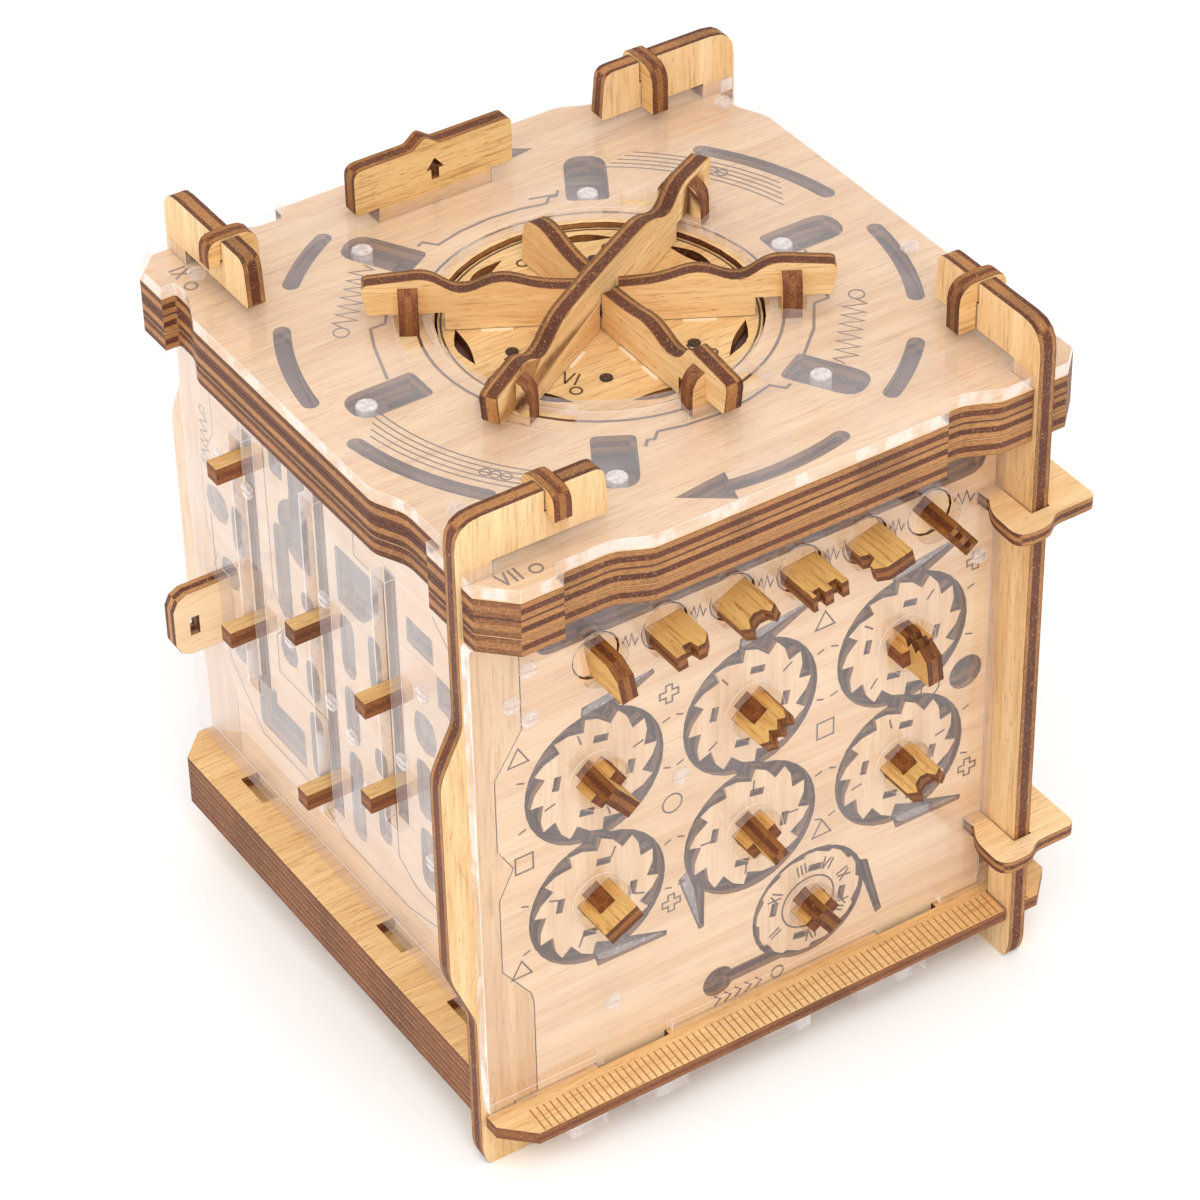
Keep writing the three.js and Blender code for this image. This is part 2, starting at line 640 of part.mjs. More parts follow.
function addLeftWall() {
  const bottom = BASE_TOP + FIT;
  const openings = [
    ...MAZE.map(([l, b, r, t, radius]) => throughPanel(roundedBox(l, TOP + b, r, TOP + t, radius), 2)),
    ...MAZE_SHAPES.map((points) => throughPanel(rounded(points.map(([x, z, r]) => [x, TOP + z, r])), 2)),
    ...SLIDER_SLOTS.map(({ x, from, to }) => {
      return throughPanel(rectangle(x - BLOCK / 2 - SLIP, from, x + BLOCK / 2 + SLIP, to));
    }),
    throughPanel(tenonSlot(SLIP)),
  ];
  add("left_panel", panel(wallOutline(bottom, SIDE_TABS), openings), pale, LEFT);

  const boardBack = -PANEL_BACK + SHOE_DEPTH + 2 * SLIP;
  const board = upright(rectangle(-54.8, bottom, 52, WALL_TOP), boardBack + BOARD, boardBack);
  add("left_backboard", board, grey, LEFT);

  const holes = SLIDER_SLOTS.map(({ x, from, to }) => {
    return throughCover(rectangle(x - BLOCK / 2 - 2 * SLIP, from, x + BLOCK / 2 + 2 * SLIP, to));
  });
  holes.push(throughCover(tenonSlot(SLIP)));
  add("left_cover", cover(SPINE_OUT + 0.2, bottom, holes), clear, LEFT);
}

function addSliders() {
  let number = 0;
  for (const { x, blocks } of SLIDER_SLOTS) {
    for (const z of blocks) {
      number += 1;
      const half = BLOCK / 2;
      const stem = upright(rectangle(x - half, z - half, x + half, z + half), -PANEL_BACK + 1, -BLOCK_REACH);
      const shoe = upright(
        rectangle(x - SHOE / 2, z - SHOE / 2, x + SHOE / 2, z + SHOE / 2),
        -PANEL_BACK + SHOE_DEPTH + SLIP,
        -PANEL_BACK + SLIP,
      );
      add(`slider_${number}`, join(stem, shoe), birch, LEFT);
    }
  }
}

// ---------------------------------------------------------------- back and right

function addPlainWalls() {
  const bottom = BASE_TOP + FIT;
  const { bottom: low, top: high, reach } = TENON;
  const bend = 1.2;
  const tenon = [
    [PANEL_RIGHT, low],
    [reach - 3 * bend, low],
    [reach - bend, low + bend],
    [reach, low + 3 * bend],
    [reach, high - 3 * bend],
    [reach - bend, high - bend],
    [reach - 3 * bend, high],
    [PANEL_RIGHT, high],
  ];
  const eye = throughPanel(rectangle(67.8, TOP - 90.4, 70, TOP - 85.8));
  add("back_panel", panel(wallOutline(bottom, SIDE_TABS, { extra: tenon }), [eye]), pale, BACK);
  add("back_cover", cover(SPINE_OUT + 0.2, bottom, []), clear, BACK);
  add("right_panel", panel(wallOutline(bottom, SIDE_TABS, { wavy: false }), []), pale, RIGHT);
  add("right_cover", cover(PANEL_LEFT, bottom, []), clear, RIGHT);
}

// ---------------------------------------------------------------- lid

// The arrow plate stands in a slot of the lid and is drawn upward.
const ARROW = { left: -24.6, right: 13.5, front: 53.6, rise: 10.8, tongueLeft: -19, tongueRight: 8 };
const ARROW_RADIUS = 63.0;
const ARROW_WIDTH = 3.6;

// A curved arrow in the lid's ring of slots, pointing clockwise: its tail runs from one angle
// down to another and its head ends in a point.
function arrowOpenings(from, to) {
  const head = [
    [ARROW_RADIUS - 4.4, to + 1.5],
    [ARROW_RADIUS + 0.2, to - 9.5],
    [ARROW_RADIUS + 4.4, to + 0.5],
  ];
  return [
    arcSlot(ARROW_RADIUS, ARROW_WIDTH, to, from),
    polygon(head.map(([r, a]) => polar(r, a)).reverse()),
  ];
}

function ringSlots() {
  const half = [[9, 37], [-29, -6], [-60, -44]];
  const spans = [0, 180].flatMap((turn) => half.map(([from, to]) => [from + turn, to + turn]));
  const arcs = spans.map(([from, to]) => arcSlot(ARROW_RADIUS + 0.6, ARROW_WIDTH, from, to));
  return [...arcs, ...arrowOpenings(-76, -101), ...arrowOpenings(104, 79)];
}

function radialSlot(angle) {
  const half = BOLT_SLOT_WIDTH / 2;
  const points = [
    [BOLT_SLOT_FROM, -half, 1.5],
    [BOLT_SLOT_TO, -half, 4.4],
    [BOLT_SLOT_TO, half, 4.4],
    [BOLT_SLOT_FROM, half, 1.5],
  ];
  return rounded(turned(points, angle));
}

// Arc slot of the cover that a cross tab stands in, with room for the handle's turn.
function tabSlot(angle) {
  const [inner, outer] = [TAB_AT - PLY / 2 - 2 * SLIP, TAB_AT + PLY / 2 + 4 * SLIP];
  const [from, to] = [angle - 9, angle + CAM_TURN + 9];
  const steps = 4;
  const rim = (radius) => {
    return Array.from({ length: steps + 1 }, (_, n) => polar(radius, from + ((to - from) * n) / steps));
  };
  return polygon([...rim(outer), ...rim(inner).reverse()]);
}

function lidSheet(z, thickness, shapes, segments = 4) {
  const cutters = shapes.map((shape) => sheet(shape, z - CUT, thickness + 2 * CUT, segments));
  return carve(sheet(lidOutline(), z, thickness, 3), [...cutters, ...spineSlots(z, thickness)]);
}

function arrowPlateSlot() {
  const { tongueLeft, tongueRight, front } = ARROW;
  return rectangle(tongueLeft - SLIP, front - SLIP, tongueRight + SLIP, front + PLY + SLIP);
}

function addLid() {
  const pockets = BOLTS.map(({ angle }) => {
    const half = BOLT_SLOT_WIDTH / 2;
    return polygon(turned([[36.5, -half], [61.5, -half], [61.5, half], [36.5, half]], angle));
  });
  const camWell = circle(0, 0, CAM_RADIUS + SLIP);
  add("lid_bottom_sheet", lidSheet(LID_BOTTOM_Z, PLY, [camWell], 20), birch);
  const middleCuts = [circle(0, 0, HUB_RADIUS + 2 * SLIP), ...pockets, arrowPlateSlot()];
  const middle = lidSheet(LID_MIDDLE_Z, PLY, middleCuts, 16);
  add("lid_middle_sheet", middle, birch);
  const cutouts = [...BOLTS.map(({ angle }) => radialSlot(angle)), ...ringSlots(), arrowPlateSlot()];
  const opening = sheet(circle(0, 0, LID_OPENING), LID_TOP_Z - CUT, PLY + 2 * CUT, 20);
  add("lid_top_sheet", carve(lidSheet(LID_TOP_Z, PLY, cutouts), [opening]), pale);

  const bays = STAR_ARMS.map(tabSlot);
  const hole = sheet(circle(0, 0, COVER_OPENING), LID_COVER_Z - CUT, ACRYLIC + 2 * CUT, 20);
  add("lid_cover", carve(lidSheet(LID_COVER_Z, ACRYLIC, [...bays, arrowPlateSlot()]), [hole]), clear);
}

function addArrowPlate() {
  const { left, right, front, rise, tongueLeft, tongueRight } = ARROW;
  const [foot, seat, crown] = [LID_MIDDLE_Z + 0.6, TOP + FIT, TOP + rise];
  const outline = rounded([
    [tongueLeft, foot, 0],
    [tongueRight, foot, 0],
    [tongueRight, seat, 0],
    [right, seat, 0.8],
    [right, crown, 1.5],
    [-4, crown, 0.6],
    [-7.4, crown + 2.4, 1],
    [-10.4, crown, 0.6],
    [left, crown, 2.5],
    [left, seat, 0.8],
    [tongueLeft, seat, 0],
  ]);
  const mark = polygon([[-6.2, 0], [-4.4, 0], [-4.4, 2.4], [-3.2, 2.4], [-5.3, 5], [-7.4, 2.4], [-6.2, 2.4]]);
  const body = upright(outline, front + PLY, front, 4);
  const cutter = upright(mark, front + PLY + CUT, front - CUT).translate(0, 0, TOP + 2.6);
  add("arrow_plate", carve(body, [cutter]), birch);
}

// ---------------------------------------------------------------- star handle

// A bar's outline from the centre outwards, as [distance, height above the lid cover].
const SEAT = DISC_TOP + FIT - TOP;
const WAVE = [[12, 4.8, 4], [19.5, 7.8, 4], [28, 3.9, 4], [34, 8.6, 3]];
const ARM_END = [
  [STAR_REACH, 7.4, 1.5],
  [STAR_REACH - 1, 0.4, 0.8],
  [STAR_STEP, 0.4, 0],
  [STAR_STEP, SEAT, 0.5],
];
const RIDGE = [[9, 8.8, 4], [19, 8.6, 4], [28, 4, 4], [34, 8.4, 3]];
const STUB = [[11, 5.6, 3], [19, 8.2, 3], [25, 6.6, 3], [26, SEAT, 1]];
const FLARE = [[12, 5.0, 4], [19, 6.4, 4], [26.5, 3.4, 3], [31, 4.6, 2], [34.5, 9, 1]];
const LAP = 3.9; // half the length that a bar gives up where the three cross

function barOutline(toRight, toLeft, crown) {
  const right = toRight.map(([d, h, r]) => [d, h, r]);
  const left = toLeft.map(([d, h, r]) => [-d, h, r]).reverse();
  const top = [...left, [0, crown, 3], ...right].map(([d, h, r]) => [d, TOP + h, r]);
  return rounded(top.reverse());
}

// Cross tab: a small arch-topped plate let into the bar near its end. Its foot runs in an arc slot
// of the lid's cover, whose ends stop the handle.
function crossTab(distance) {
  const foot = TOP - ACRYLIC;
  const crown = TOP + 6.8;
  const outline = rounded([
    [-TAB_HALF, foot, 0],
    [TAB_HALF, foot, 0],
    [TAB_HALF, crown, 4.8],
    [-TAB_HALF, crown, 4.8],
  ]);
  return crosswise(outline, distance - PLY / 2, distance + PLY / 2, 4);
}

function starBar(name, outline, angle, tabs, gaps) {
  const blank = upright(outline, PLY / 2, -PLY / 2, 4);
  const notches = gaps.map(([from, to]) => {
    return upright(rectangle(-LAP, TOP + from, LAP, TOP + to), PLY, -PLY);
  });
  const mesh = add(name, join(carve(blank, notches), ...tabs.map(crossTab)), birch);
  mesh.rotation.z = THREE.MathUtils.degToRad(angle);
}

function addStar() {
  const low = -1.2;
  const high = 1.8;
  const gap = FIT / 2;
  const straight = [...RIDGE, ...ARM_END];
  const waved = [...WAVE, ...ARM_END];
  const flared = [...FLARE, ...ARM_END];
  const floor = SEAT - CUT;
  const sky = 14;
  const middleGaps = [[floor, low + gap], [high - gap, sky]];
  starBar("star_bar_upper", barOutline(straight, straight, 9), 30, [TAB_AT, -TAB_AT], [[floor, high + gap]]);
  starBar("star_bar_middle", barOutline(waved, waved, 4.2), 330, [TAB_AT, -TAB_AT], middleGaps);
  starBar("star_bar_lower", barOutline(flared, STUB, 4.6), 270, [TAB_AT], [[low - gap, sky]]);
  addDisc();
}

// The disc under the bars: a flange in the lid's top sheet, pierced by leaf-shaped holes, and a
// hub that reaches down through the middle sheet to the cam plate.
function addDisc() {
  const leafAt = 29.2;
  const leaves = [16, 64, 113, 166, 214, 262, 311].map((angle) => {
    const tips = leafAt - 0.8;
    const leaf = [[tips, -6.4, 0], [leafAt + 1.8, 0, 4], [tips, 6.4, 0], [leafAt - 1.8, 0, 4]];
    return sheet(rounded(turned(leaf, angle)), DISC_TOP - THIN_PLY - CUT, THIN_PLY + 2 * CUT, 3);
  });
  const flange = carve(sheet(circle(0, 0, DISC_RADIUS), DISC_TOP - THIN_PLY, THIN_PLY, 22), leaves);
  const hub = sheet(circle(0, 0, HUB_RADIUS), LID_MIDDLE_Z, DISC_TOP - 1 - LID_MIDDLE_Z, 16);
  add("turn_disc", join(flange, hub), birch);
}

function addCamPlate() {
  const plate = sheet(circle(0, 0, CAM_RADIUS), LID_BOTTOM_Z + 0.2, PLY - 0.2, 20);
  add("cam_plate", carve(plate, BOLTS.flatMap(camSlot)), grey);
}

// A spiral slot in the cam plate: it leads one bolt's post in or out by the same distance for
// every degree that the handle turns.
function camSlot({ angle, pin, open }) {
  const steps = 6;
  const half = BOLT_PIN + SLIP;
  const track = Array.from({ length: steps + 1 }, (_, n) => {
    const part = n / steps;
    return new THREE.Vector2(...polar(pin + (open - pin) * part, angle - CAM_TURN * part));
  });
  const rim = (side) => {
    return track.map((point, n) => {
      const run = track[Math.min(n + 1, steps)].clone().sub(track[Math.max(n - 1, 0)]);
      const across = run.rotateAround(new THREE.Vector2(), Math.PI / 2).setLength(half * side);
      return [point.x + across.x, point.y + across.y];
    });
  };
  const band = polygon([...rim(-1), ...rim(1).reverse()]);
  const ends = [track[0], track[steps]].map(({ x, y }) => circle(x, y, half));
  return [band, ...ends].map((shape) => sheet(shape, LID_BOTTOM_Z - CUT, PLY + 2 * CUT, 5));
}

function addBolts() {
  BOLTS.forEach(({ angle, pin }, n) => {
    const half = BOLT_SLOT_WIDTH / 2 - SLIP;
    const block = rectangle(pin - BOLT_LENGTH / 2, -half, pin + BOLT_LENGTH / 2, half);
    const carriage = sheet(block, LID_MIDDLE_Z + 0.1, PLY - 0.2);
    const foot = LID_BOTTOM_Z + SLIP;
    const post = sheet(circle(pin, 0, BOLT_PIN), foot, LID_COVER_Z - FIT - foot, 5);
    const mesh = add(`lock_bolt_${n + 1}`, join(carriage, post), clear);
    mesh.rotation.z = THREE.MathUtils.degToRad(angle);
  });
}

// ---------------------------------------------------------------- clamps, wedges and collars

const ARM_RISE = 11.3;
const ARM_END_X = -38.0;
const WEDGE_X = -49.0;
const NOTCH_FLOOR = TOP + 6.4;

// A clamp's spine has a belly between lid and base, except where it runs through the collars.
function clampOutline(seamBottom, wavy) {
  const inner = seam(-FIT / 2, LID_BOTTOM_Z - 2 * FIT, seamBottom, wavy).reverse();
  const belly = [
    [SPINE_OUT, TOP - 37, 2],
    [-76.5, TOP - 48, 3],
    [-76.5, TOP - 99, 3],
    [SPINE_OUT, TOP - 113, 2],
  ];
  return rounded([
    [SPINE_OUT, 4, 3],
    [-69.5, 0, 1.5],
    [-60, 0, 1],
    [-57, 3, 1],
    [-44, 3, 1],
    [-43, FOOT_ARM, 0.8],
    [SPINE_IN, FOOT_ARM, 0],
    [SPINE_IN, seamBottom, 0],
    ...inner.map(([x, z]) => [x, z, 0]),
    [SPINE_IN, LID_BOTTOM_Z - 2 * FIT, 0],
    [SPINE_IN, TOP + FIT, 0],
    [ARM_END_X + 1, TOP + FIT, 1],
    [ARM_END_X, TOP + ARM_RISE, 2.5],
    [SPINE_OUT, TOP + ARM_RISE, 6],
    ...(wavy ? belly : []),
  ].reverse());
}

function wedgeOutline() {
  const arm = -(PANEL_FACE + PANEL_BACK) / 2;
  const half = PLY / 2 + SLIP;
  const saddle = NOTCH_FLOOR + SLIP;
  return rounded([
    [arm + half, TOP + 0.4, 0],
    [arm + 6.6, TOP + 0.4, 0],
    [arm + 6.6, TOP + 11.6, 4.5],
    [arm - 5, TOP + 11.6, 4.5],
    [arm - 5, TOP + 5.4, 0],
    [arm - half, TOP + 5.4, 0],
    [arm - half, saddle, 0],
    [arm + half, saddle, 0],
  ]);
}

function addClamps() {
  sides.forEach((side, k) => {
    const half = PLY / 2 + SLIP;
    const notchBox = rectangle(WEDGE_X - half, NOTCH_FLOOR, WEDGE_X + half, TOP + ARM_RISE + CUT);
    const seamBottom = (k === 0 ? FOOT_SHEET_Z + THIN_PLY : BASE_TOP) + 2 * FIT;
    const body = upright(clampOutline(seamBottom, side !== RIGHT), -PANEL_BACK, -PANEL_FACE, 4);
    add(`clamp_${CORNERS[k]}`, carve(body, [throughPanel(notchBox)]), birch, side);
    const wedge = crosswise(wedgeOutline(), WEDGE_X - PLY / 2, WEDGE_X + PLY / 2, 4);
    add(`wedge_${CORNERS[k]}`, wedge, birch, side);
  });
}

// The collars at the front right corner hug the two walls and let the clamp's spine through.
function addCollars() {
  const wall = COVER_FACE + SLIP;
  const outline = rounded([
    [COLLAR_LEFT, -PANEL_BACK - 0.6, 0],
    [COLLAR_LEFT, -wall, 0],
    [48.6, -wall - 4, 3],
    [48.2, -76.5, 5],
    [56, -76.5, 3],
    [59, -74, 1.5],
    [69.5, -74, 2],
    [69.5, -57, 1],
    [wall, -57, 0],
    [wall, -wall, 0],
    [PANEL_FACE + SLIP, -wall, 0],
    [PANEL_FACE + SLIP, SPINE_OUT - SLIP, 0],
    [PANEL_BACK - SLIP, SPINE_OUT - SLIP, 0],
    [PANEL_BACK - SLIP, -PANEL_BACK - 0.6, 0],
  ]);
  ["collar_upper", "collar_lower"].forEach((name, n) => {
    add(name, sheet(outline, COLLAR_HEIGHTS[n], THIN_PLY, 5), birch);
  });
}

// ---------------------------------------------------------------- assembly

addBase();
addFrontWall();
addLeftWall();
addPlainWalls();
addLid();
addArrowPlate();
addStar();
addCamPlate();
addBolts();
addDials();
addKeys();
addSliders();
addClamps();
addCollars();

export default root;
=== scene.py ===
"""Looks of the laser-cut puzzle box: plywood and acrylic materials for every CAD node, and the
engraving, pins, pawls and other small pieces that ride on it."""

import json
import math

import bpy
from mathutils import Matrix, Vector


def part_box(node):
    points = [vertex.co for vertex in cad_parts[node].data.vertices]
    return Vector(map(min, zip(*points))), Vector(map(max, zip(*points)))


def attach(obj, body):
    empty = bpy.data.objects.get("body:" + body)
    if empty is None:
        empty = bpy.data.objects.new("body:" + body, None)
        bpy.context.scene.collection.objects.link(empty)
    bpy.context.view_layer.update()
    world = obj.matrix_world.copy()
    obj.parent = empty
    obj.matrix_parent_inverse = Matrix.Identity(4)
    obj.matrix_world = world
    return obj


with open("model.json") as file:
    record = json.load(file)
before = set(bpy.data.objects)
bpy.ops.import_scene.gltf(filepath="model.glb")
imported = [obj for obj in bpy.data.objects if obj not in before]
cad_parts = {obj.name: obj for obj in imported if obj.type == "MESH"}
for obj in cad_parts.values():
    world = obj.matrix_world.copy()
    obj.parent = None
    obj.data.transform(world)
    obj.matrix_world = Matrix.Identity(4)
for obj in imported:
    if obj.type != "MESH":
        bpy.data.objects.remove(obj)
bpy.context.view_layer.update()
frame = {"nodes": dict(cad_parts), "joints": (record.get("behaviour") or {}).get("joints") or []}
NODES = frame["nodes"]
MM = 0.001
X, Y, Z = Vector((1, 0, 0)), Vector((0, 1, 0)), Vector((0, 0, 1))


def direction(degrees):
    """Horizontal unit vector at that angle from +X."""
    angle = math.radians(degrees)
    return Vector((math.cos(angle), math.sin(angle), 0))


# ------------------------------------------------------------------ faces to draw on


class Face:
    """A flat face of the box: an origin, a right and an up direction, and an outward normal."""

    def __init__(self, origin, right, up, body="box"):
        self.origin, self.right, self.up = origin, right, up
        self.normal = right.cross(up)
        self.body = body

    def at(self, u, v, height=0.0):
        """Point u right, v up and height out, in millimetres."""
        return self.origin + MM * (u * self.right + v * self.up + height * self.normal)


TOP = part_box("lid_cover")[1].z
LID = Face(Vector((0, 0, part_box("lid_top_sheet")[1].z)), X, Y)
LID_COVER = Face(Vector((0, 0, TOP)), X, Y)
FRONT = Face(Vector((0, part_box("front_panel")[0].y, TOP)), X, Z)
FRONT_COVER = Face(Vector((0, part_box("front_cover")[0].y, TOP)), X, Z)
LEFT = Face(Vector((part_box("left_panel")[0].x, 0, TOP)), -Y, Z)
LEFT_COVER = Face(Vector((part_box("left_cover")[0].x, 0, TOP)), -Y, Z)
BASE = Face(Vector((0, 0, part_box("foot_sheet")[1].z)), X, Y)
DISC = Face(Vector((0, 0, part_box("turn_disc")[1].z)), X, Y, "star_handle")


# Columns and rows on the dial face and sheet thicknesses, in mm; rows lie below the lid's top.
DIAL_COLUMNS = (-41.7, -4.5, 33.0)
DIAL_ROWS = (-62.5, -94.5)
KEY_COLUMNS = (-40.8, -24.9, -9.0, 6.9, 22.8, 38.7)
KEY_ROW = -32.6
PLY = 4.0
TAB_AT = 38.2  # distance of a star bar's cross tab from the centre
EASED = 0.16 * MM  # width of the eased edges of cut wood

# ------------------------------------------------------------------ materials


class Shader:
    """Builds one node material, keeping the wiring short."""

    def __init__(self, name):
        self.material = bpy.data.materials.new(name)
        self.material.use_nodes = True
        self.nodes = self.material.node_tree.nodes
        self.links = self.material.node_tree.links
        self.surface = self.nodes["Principled BSDF"]

    def node(self, kind, inputs=None, **settings):
        made = self.nodes.new(kind)
        for key, value in settings.items():
            setattr(made, key, value)
        for key, value in (inputs or {}).items():
            self.feed(made.inputs[key], value)
        return made

    def feed(self, socket, value):
        if isinstance(value, bpy.types.NodeSocket):
            self.links.new(value, socket)
        else:
            socket.default_value = value

    def maths(self, operation, first, second=0.0, third=0.0, clamp=False):
        made = self.node("ShaderNodeMath", {0: first, 1: second, 2: third}, operation=operation)
        made.use_clamp = clamp
        return made.outputs[0]

    def dot(self, vector, constant):
        inputs = {0: vector, 1: tuple(constant)}
        return self.node("ShaderNodeVectorMath", inputs, operation="DOT_PRODUCT").outputs["Value"]

    def step(self, value, low, high, out_low=0.0, out_high=1.0):
        inputs = {0: value, 1: low, 2: high, 3: out_low, 4: out_high}
        made = self.node("ShaderNodeMapRange", inputs, interpolation_type="SMOOTHSTEP")
        return made.outputs[0]

    def mix(self, share, first, second, blend="MIX"):
        made = self.node("ShaderNodeMix", data_type="RGBA", blend_type=blend)
        self.feed(made.inputs[0], share)
        self.feed(made.inputs[6], first)
        self.feed(made.inputs[7], second)
        return made.outputs[2]

    def noise(self, vector, scale, detail=3.0, rough=0.55):
        inputs = {"Vector": vector, "Scale": scale, "Detail": detail, "Roughness": rough}
        return self.node("ShaderNodeTexNoise", inputs).outputs["Fac"]

    def position(self):
        return self.node("ShaderNodeTexCoord").outputs["Object"]

    def own_normal(self):
        """The surface normal in the object's own space, so that it turns with the piece."""
        world = self.node("ShaderNodeNewGeometry").outputs["Normal"]
        settings = {"vector_type": "NORMAL", "convert_from": "WORLD", "convert_to": "OBJECT"}
        return self.node("ShaderNodeVectorTransform", {0: world}, **settings).outputs[0]

    def along(self, lengths, axes):
        """A texture vector measured along the three axes, each multiplied by its own factor."""
        position = self.position()
        parts = {}
        for n, (axis, length) in enumerate(zip(axes, lengths)):
            parts[n] = self.maths("MULTIPLY", self.dot(position, axis), length)
        return self.node("ShaderNodeCombineXYZ", parts).outputs[0]

    def finish(self, **values):
        for key, value in values.items():
            self.feed(self.surface.inputs[key.replace("_", " ")], value)
        return self.material


def rgb(red, green, blue):
    """An sRGB colour of 0 to 255 as the linear colour that shaders take."""

    def linear(channel):
        share = channel / 255
        return share / 12.92 if share <= 0.04045 else ((share + 0.055) / 1.055) ** 2.4

    return linear(red), linear(green), linear(blue), 1.0


VENEER_LIGHT = rgb(248, 217, 170)
VENEER_DARK = rgb(229, 186, 131)
FLECK = rgb(170, 110, 60)
CHAR = rgb(58, 28, 18)
PLY_LIGHT = rgb(188, 132, 78)
PLY_DARK = rgb(98, 52, 34)
PLY_EVEN = rgb(142, 84, 56)

# How bright the wood of each kind of piece is, as a share of the veneer's own colours: partly each
# piece's own tone, partly painted light and shade, with the walls painted brighter in place of light from
# the front and the handles and braces painted darker as shade.
TONE_AND_PAINTED_LIGHT = {
    "wall": 1.1,
    "base": 0.9,
    "disc": 0.88,
    "clamp": 0.96,
    "wedge": 0.84,
    "arrow": 0.78,
    "bar": 0.9,
    "tab": 0.86,
    "handle": 0.66,
    "brace": 0.64,
    "block": 0.82,
}


def plywood(name, normal, centre, thickness, grain, tone=1.0, seed=0.0, core_share=0.35, even=0.0):
    """Laser-cut plywood: a fine-grained veneer on the faces, and scorched plies on the cut edges.

    normal, centre and thickness (m) say where the sheet's plies lie, and grain how its veneer runs.
    A tone below 1 makes the wood darker and warmer, and its figure stronger. core_share is the
    dark core's part of the edge, and even blurs the plies into one brown."""
    s = Shader(name)
    cross = normal.cross(grain)
    axes = (grain, cross, normal)
    drift = s.along((7 + seed * 0.01, 40, 60), axes)
    cloud = s.noise(drift, 1.0, 2.0)
    fibres = s.noise(s.along((90, 1500, 1500), axes), 1.0, 4.0, 0.65)
    figure = s.noise(s.along((16, 330, 60), axes), 1.0, 3.0)
    pores = s.noise(s.along((330, 3600, 3600), axes), 1.0, 2.0, 0.5)
    tint = s.maths("ADD", s.maths("MULTIPLY", cloud, 0.6), s.maths("MULTIPLY", figure, 0.75))
    veneer = s.mix(s.step(tint, 0.45, 0.95), VENEER_LIGHT, VENEER_DARK)
    figured = min(0.48 + 1.9 * (1.0 - tone), 0.95)
    veneer = s.mix(s.step(fibres, 0.47, 0.78, 0.0, figured), veneer, FLECK)
    veneer = s.mix(s.step(pores, 0.6, 0.74, 0.0, figured), veneer, FLECK)

    # the cut edge: outer plies and core swap tone between sides along and across the grain
    side = s.own_normal()
    depth = s.maths("SUBTRACT", s.dot(s.position(), normal), centre)
    unevenness = s.maths("SUBTRACT", s.noise(s.along((120, 120, 60), axes), 1.0, 2.0), 0.5)
    wobble = s.maths("MULTIPLY", unevenness, 0.12)
    ply = s.maths("ADD", s.maths("ABSOLUTE", s.maths("DIVIDE", depth, thickness / 2)), wobble)
    core = s.step(ply, core_share - 0.05, core_share + 0.05)
    rim = s.step(ply, 0.84, 1.0)
    end_grain = s.step(s.maths("ABSOLUTE", s.dot(side, grain)), 0.55, 0.8)
    plies = s.mix(core, PLY_DARK, PLY_LIGHT)
    plies = s.mix(end_grain, plies, s.mix(core, PLY_LIGHT, PLY_DARK))
    plies = s.mix(even, plies, PLY_EVEN)
    streaks = s.noise(s.along((700, 700, 2600), axes), 1.0, 3.0, 0.6)
    plies = s.mix(s.step(streaks, 0.4, 0.75, 0.0, 0.45), plies, CHAR)
    scorch = s.noise(s.along((55, 55, 30), axes), 1.0, 2.0)
    plies = s.mix(s.step(scorch, 0.42, 0.7, 0.04, 0.4), plies, CHAR)
    plies = s.mix(s.maths("MULTIPLY", rim, 0.6), plies, CHAR)
    glints = s.noise(s.along((2600, 2600, 3400), axes), 1.0, 2.0)
    plies = s.mix(s.step(glints, 0.58, 0.72, 0.0, 0.5), plies, VENEER_DARK)

    flat = s.step(s.maths("ABSOLUTE", s.dot(side, normal)), 0.72, 0.97)
    colour = s.mix(flat, plies, veneer)
    # the tone is partly the wood's own and partly painted light and shade
    if tone != 1.0:
        colour = s.mix(1.0, colour, (tone**0.6, tone, tone**2.2, 1.0), "MULTIPLY")
    height = s.maths("MULTIPLY", s.maths("ADD", fibres, pores), 0.5)
    bump = s.node("ShaderNodeBump", {"Height": height, "Strength": 0.18, "Distance": 0.0002})
    rough = s.step(fibres, 0.2, 0.9, 0.5, 0.72)
    return s.finish(Base_Color=colour, Roughness=rough, Normal=bump.outputs[0], Specular_IOR_Level=0.35)


def see_through(s, film, mirror):
    """Joins a whitish film, which also carries the painted highlights and painted reflection that callers
    ask for, the clear body and its mirror-like surface into one shader.
    """
    clear = s.node("ShaderNodeBsdfTransparent", {"Color": (0.975, 0.965, 0.965, 1.0)})
    milky_and_painted_light = s.node("ShaderNodeBsdfDiffuse", {"Color": (1.0, 0.955, 0.945, 1.0)})
    gloss = s.node("ShaderNodeBsdfGlossy", {"Color": (1.0, 0.965, 0.955, 1.0), "Roughness": 0.03})
    body = s.node("ShaderNodeMixShader", {0: film, 1: clear.outputs[0], 2: milky_and_painted_light.outputs[0]})
    whole = s.node("ShaderNodeMixShader", {0: mirror, 1: body.outputs[0], 2: gloss.outputs[0]})
    s.links.new(whole.outputs[0], s.nodes["Material Output"].inputs["Surface"])
    s.nodes.remove(s.surface)
    s.material.surface_render_method = "BLENDED"
    return s.material


def mirror_share(s, head_on=0.045):
    """How much a clear surface mirrors: little head on, all of it at a grazing angle."""
    facing = s.node("ShaderNodeLayerWeight", {"Blend": 0.5}).outputs["Facing"]
    grazing = s.maths("POWER", facing, 5.0)
    return s.maths("MULTIPLY_ADD", grazing, 1.0 - head_on, head_on)


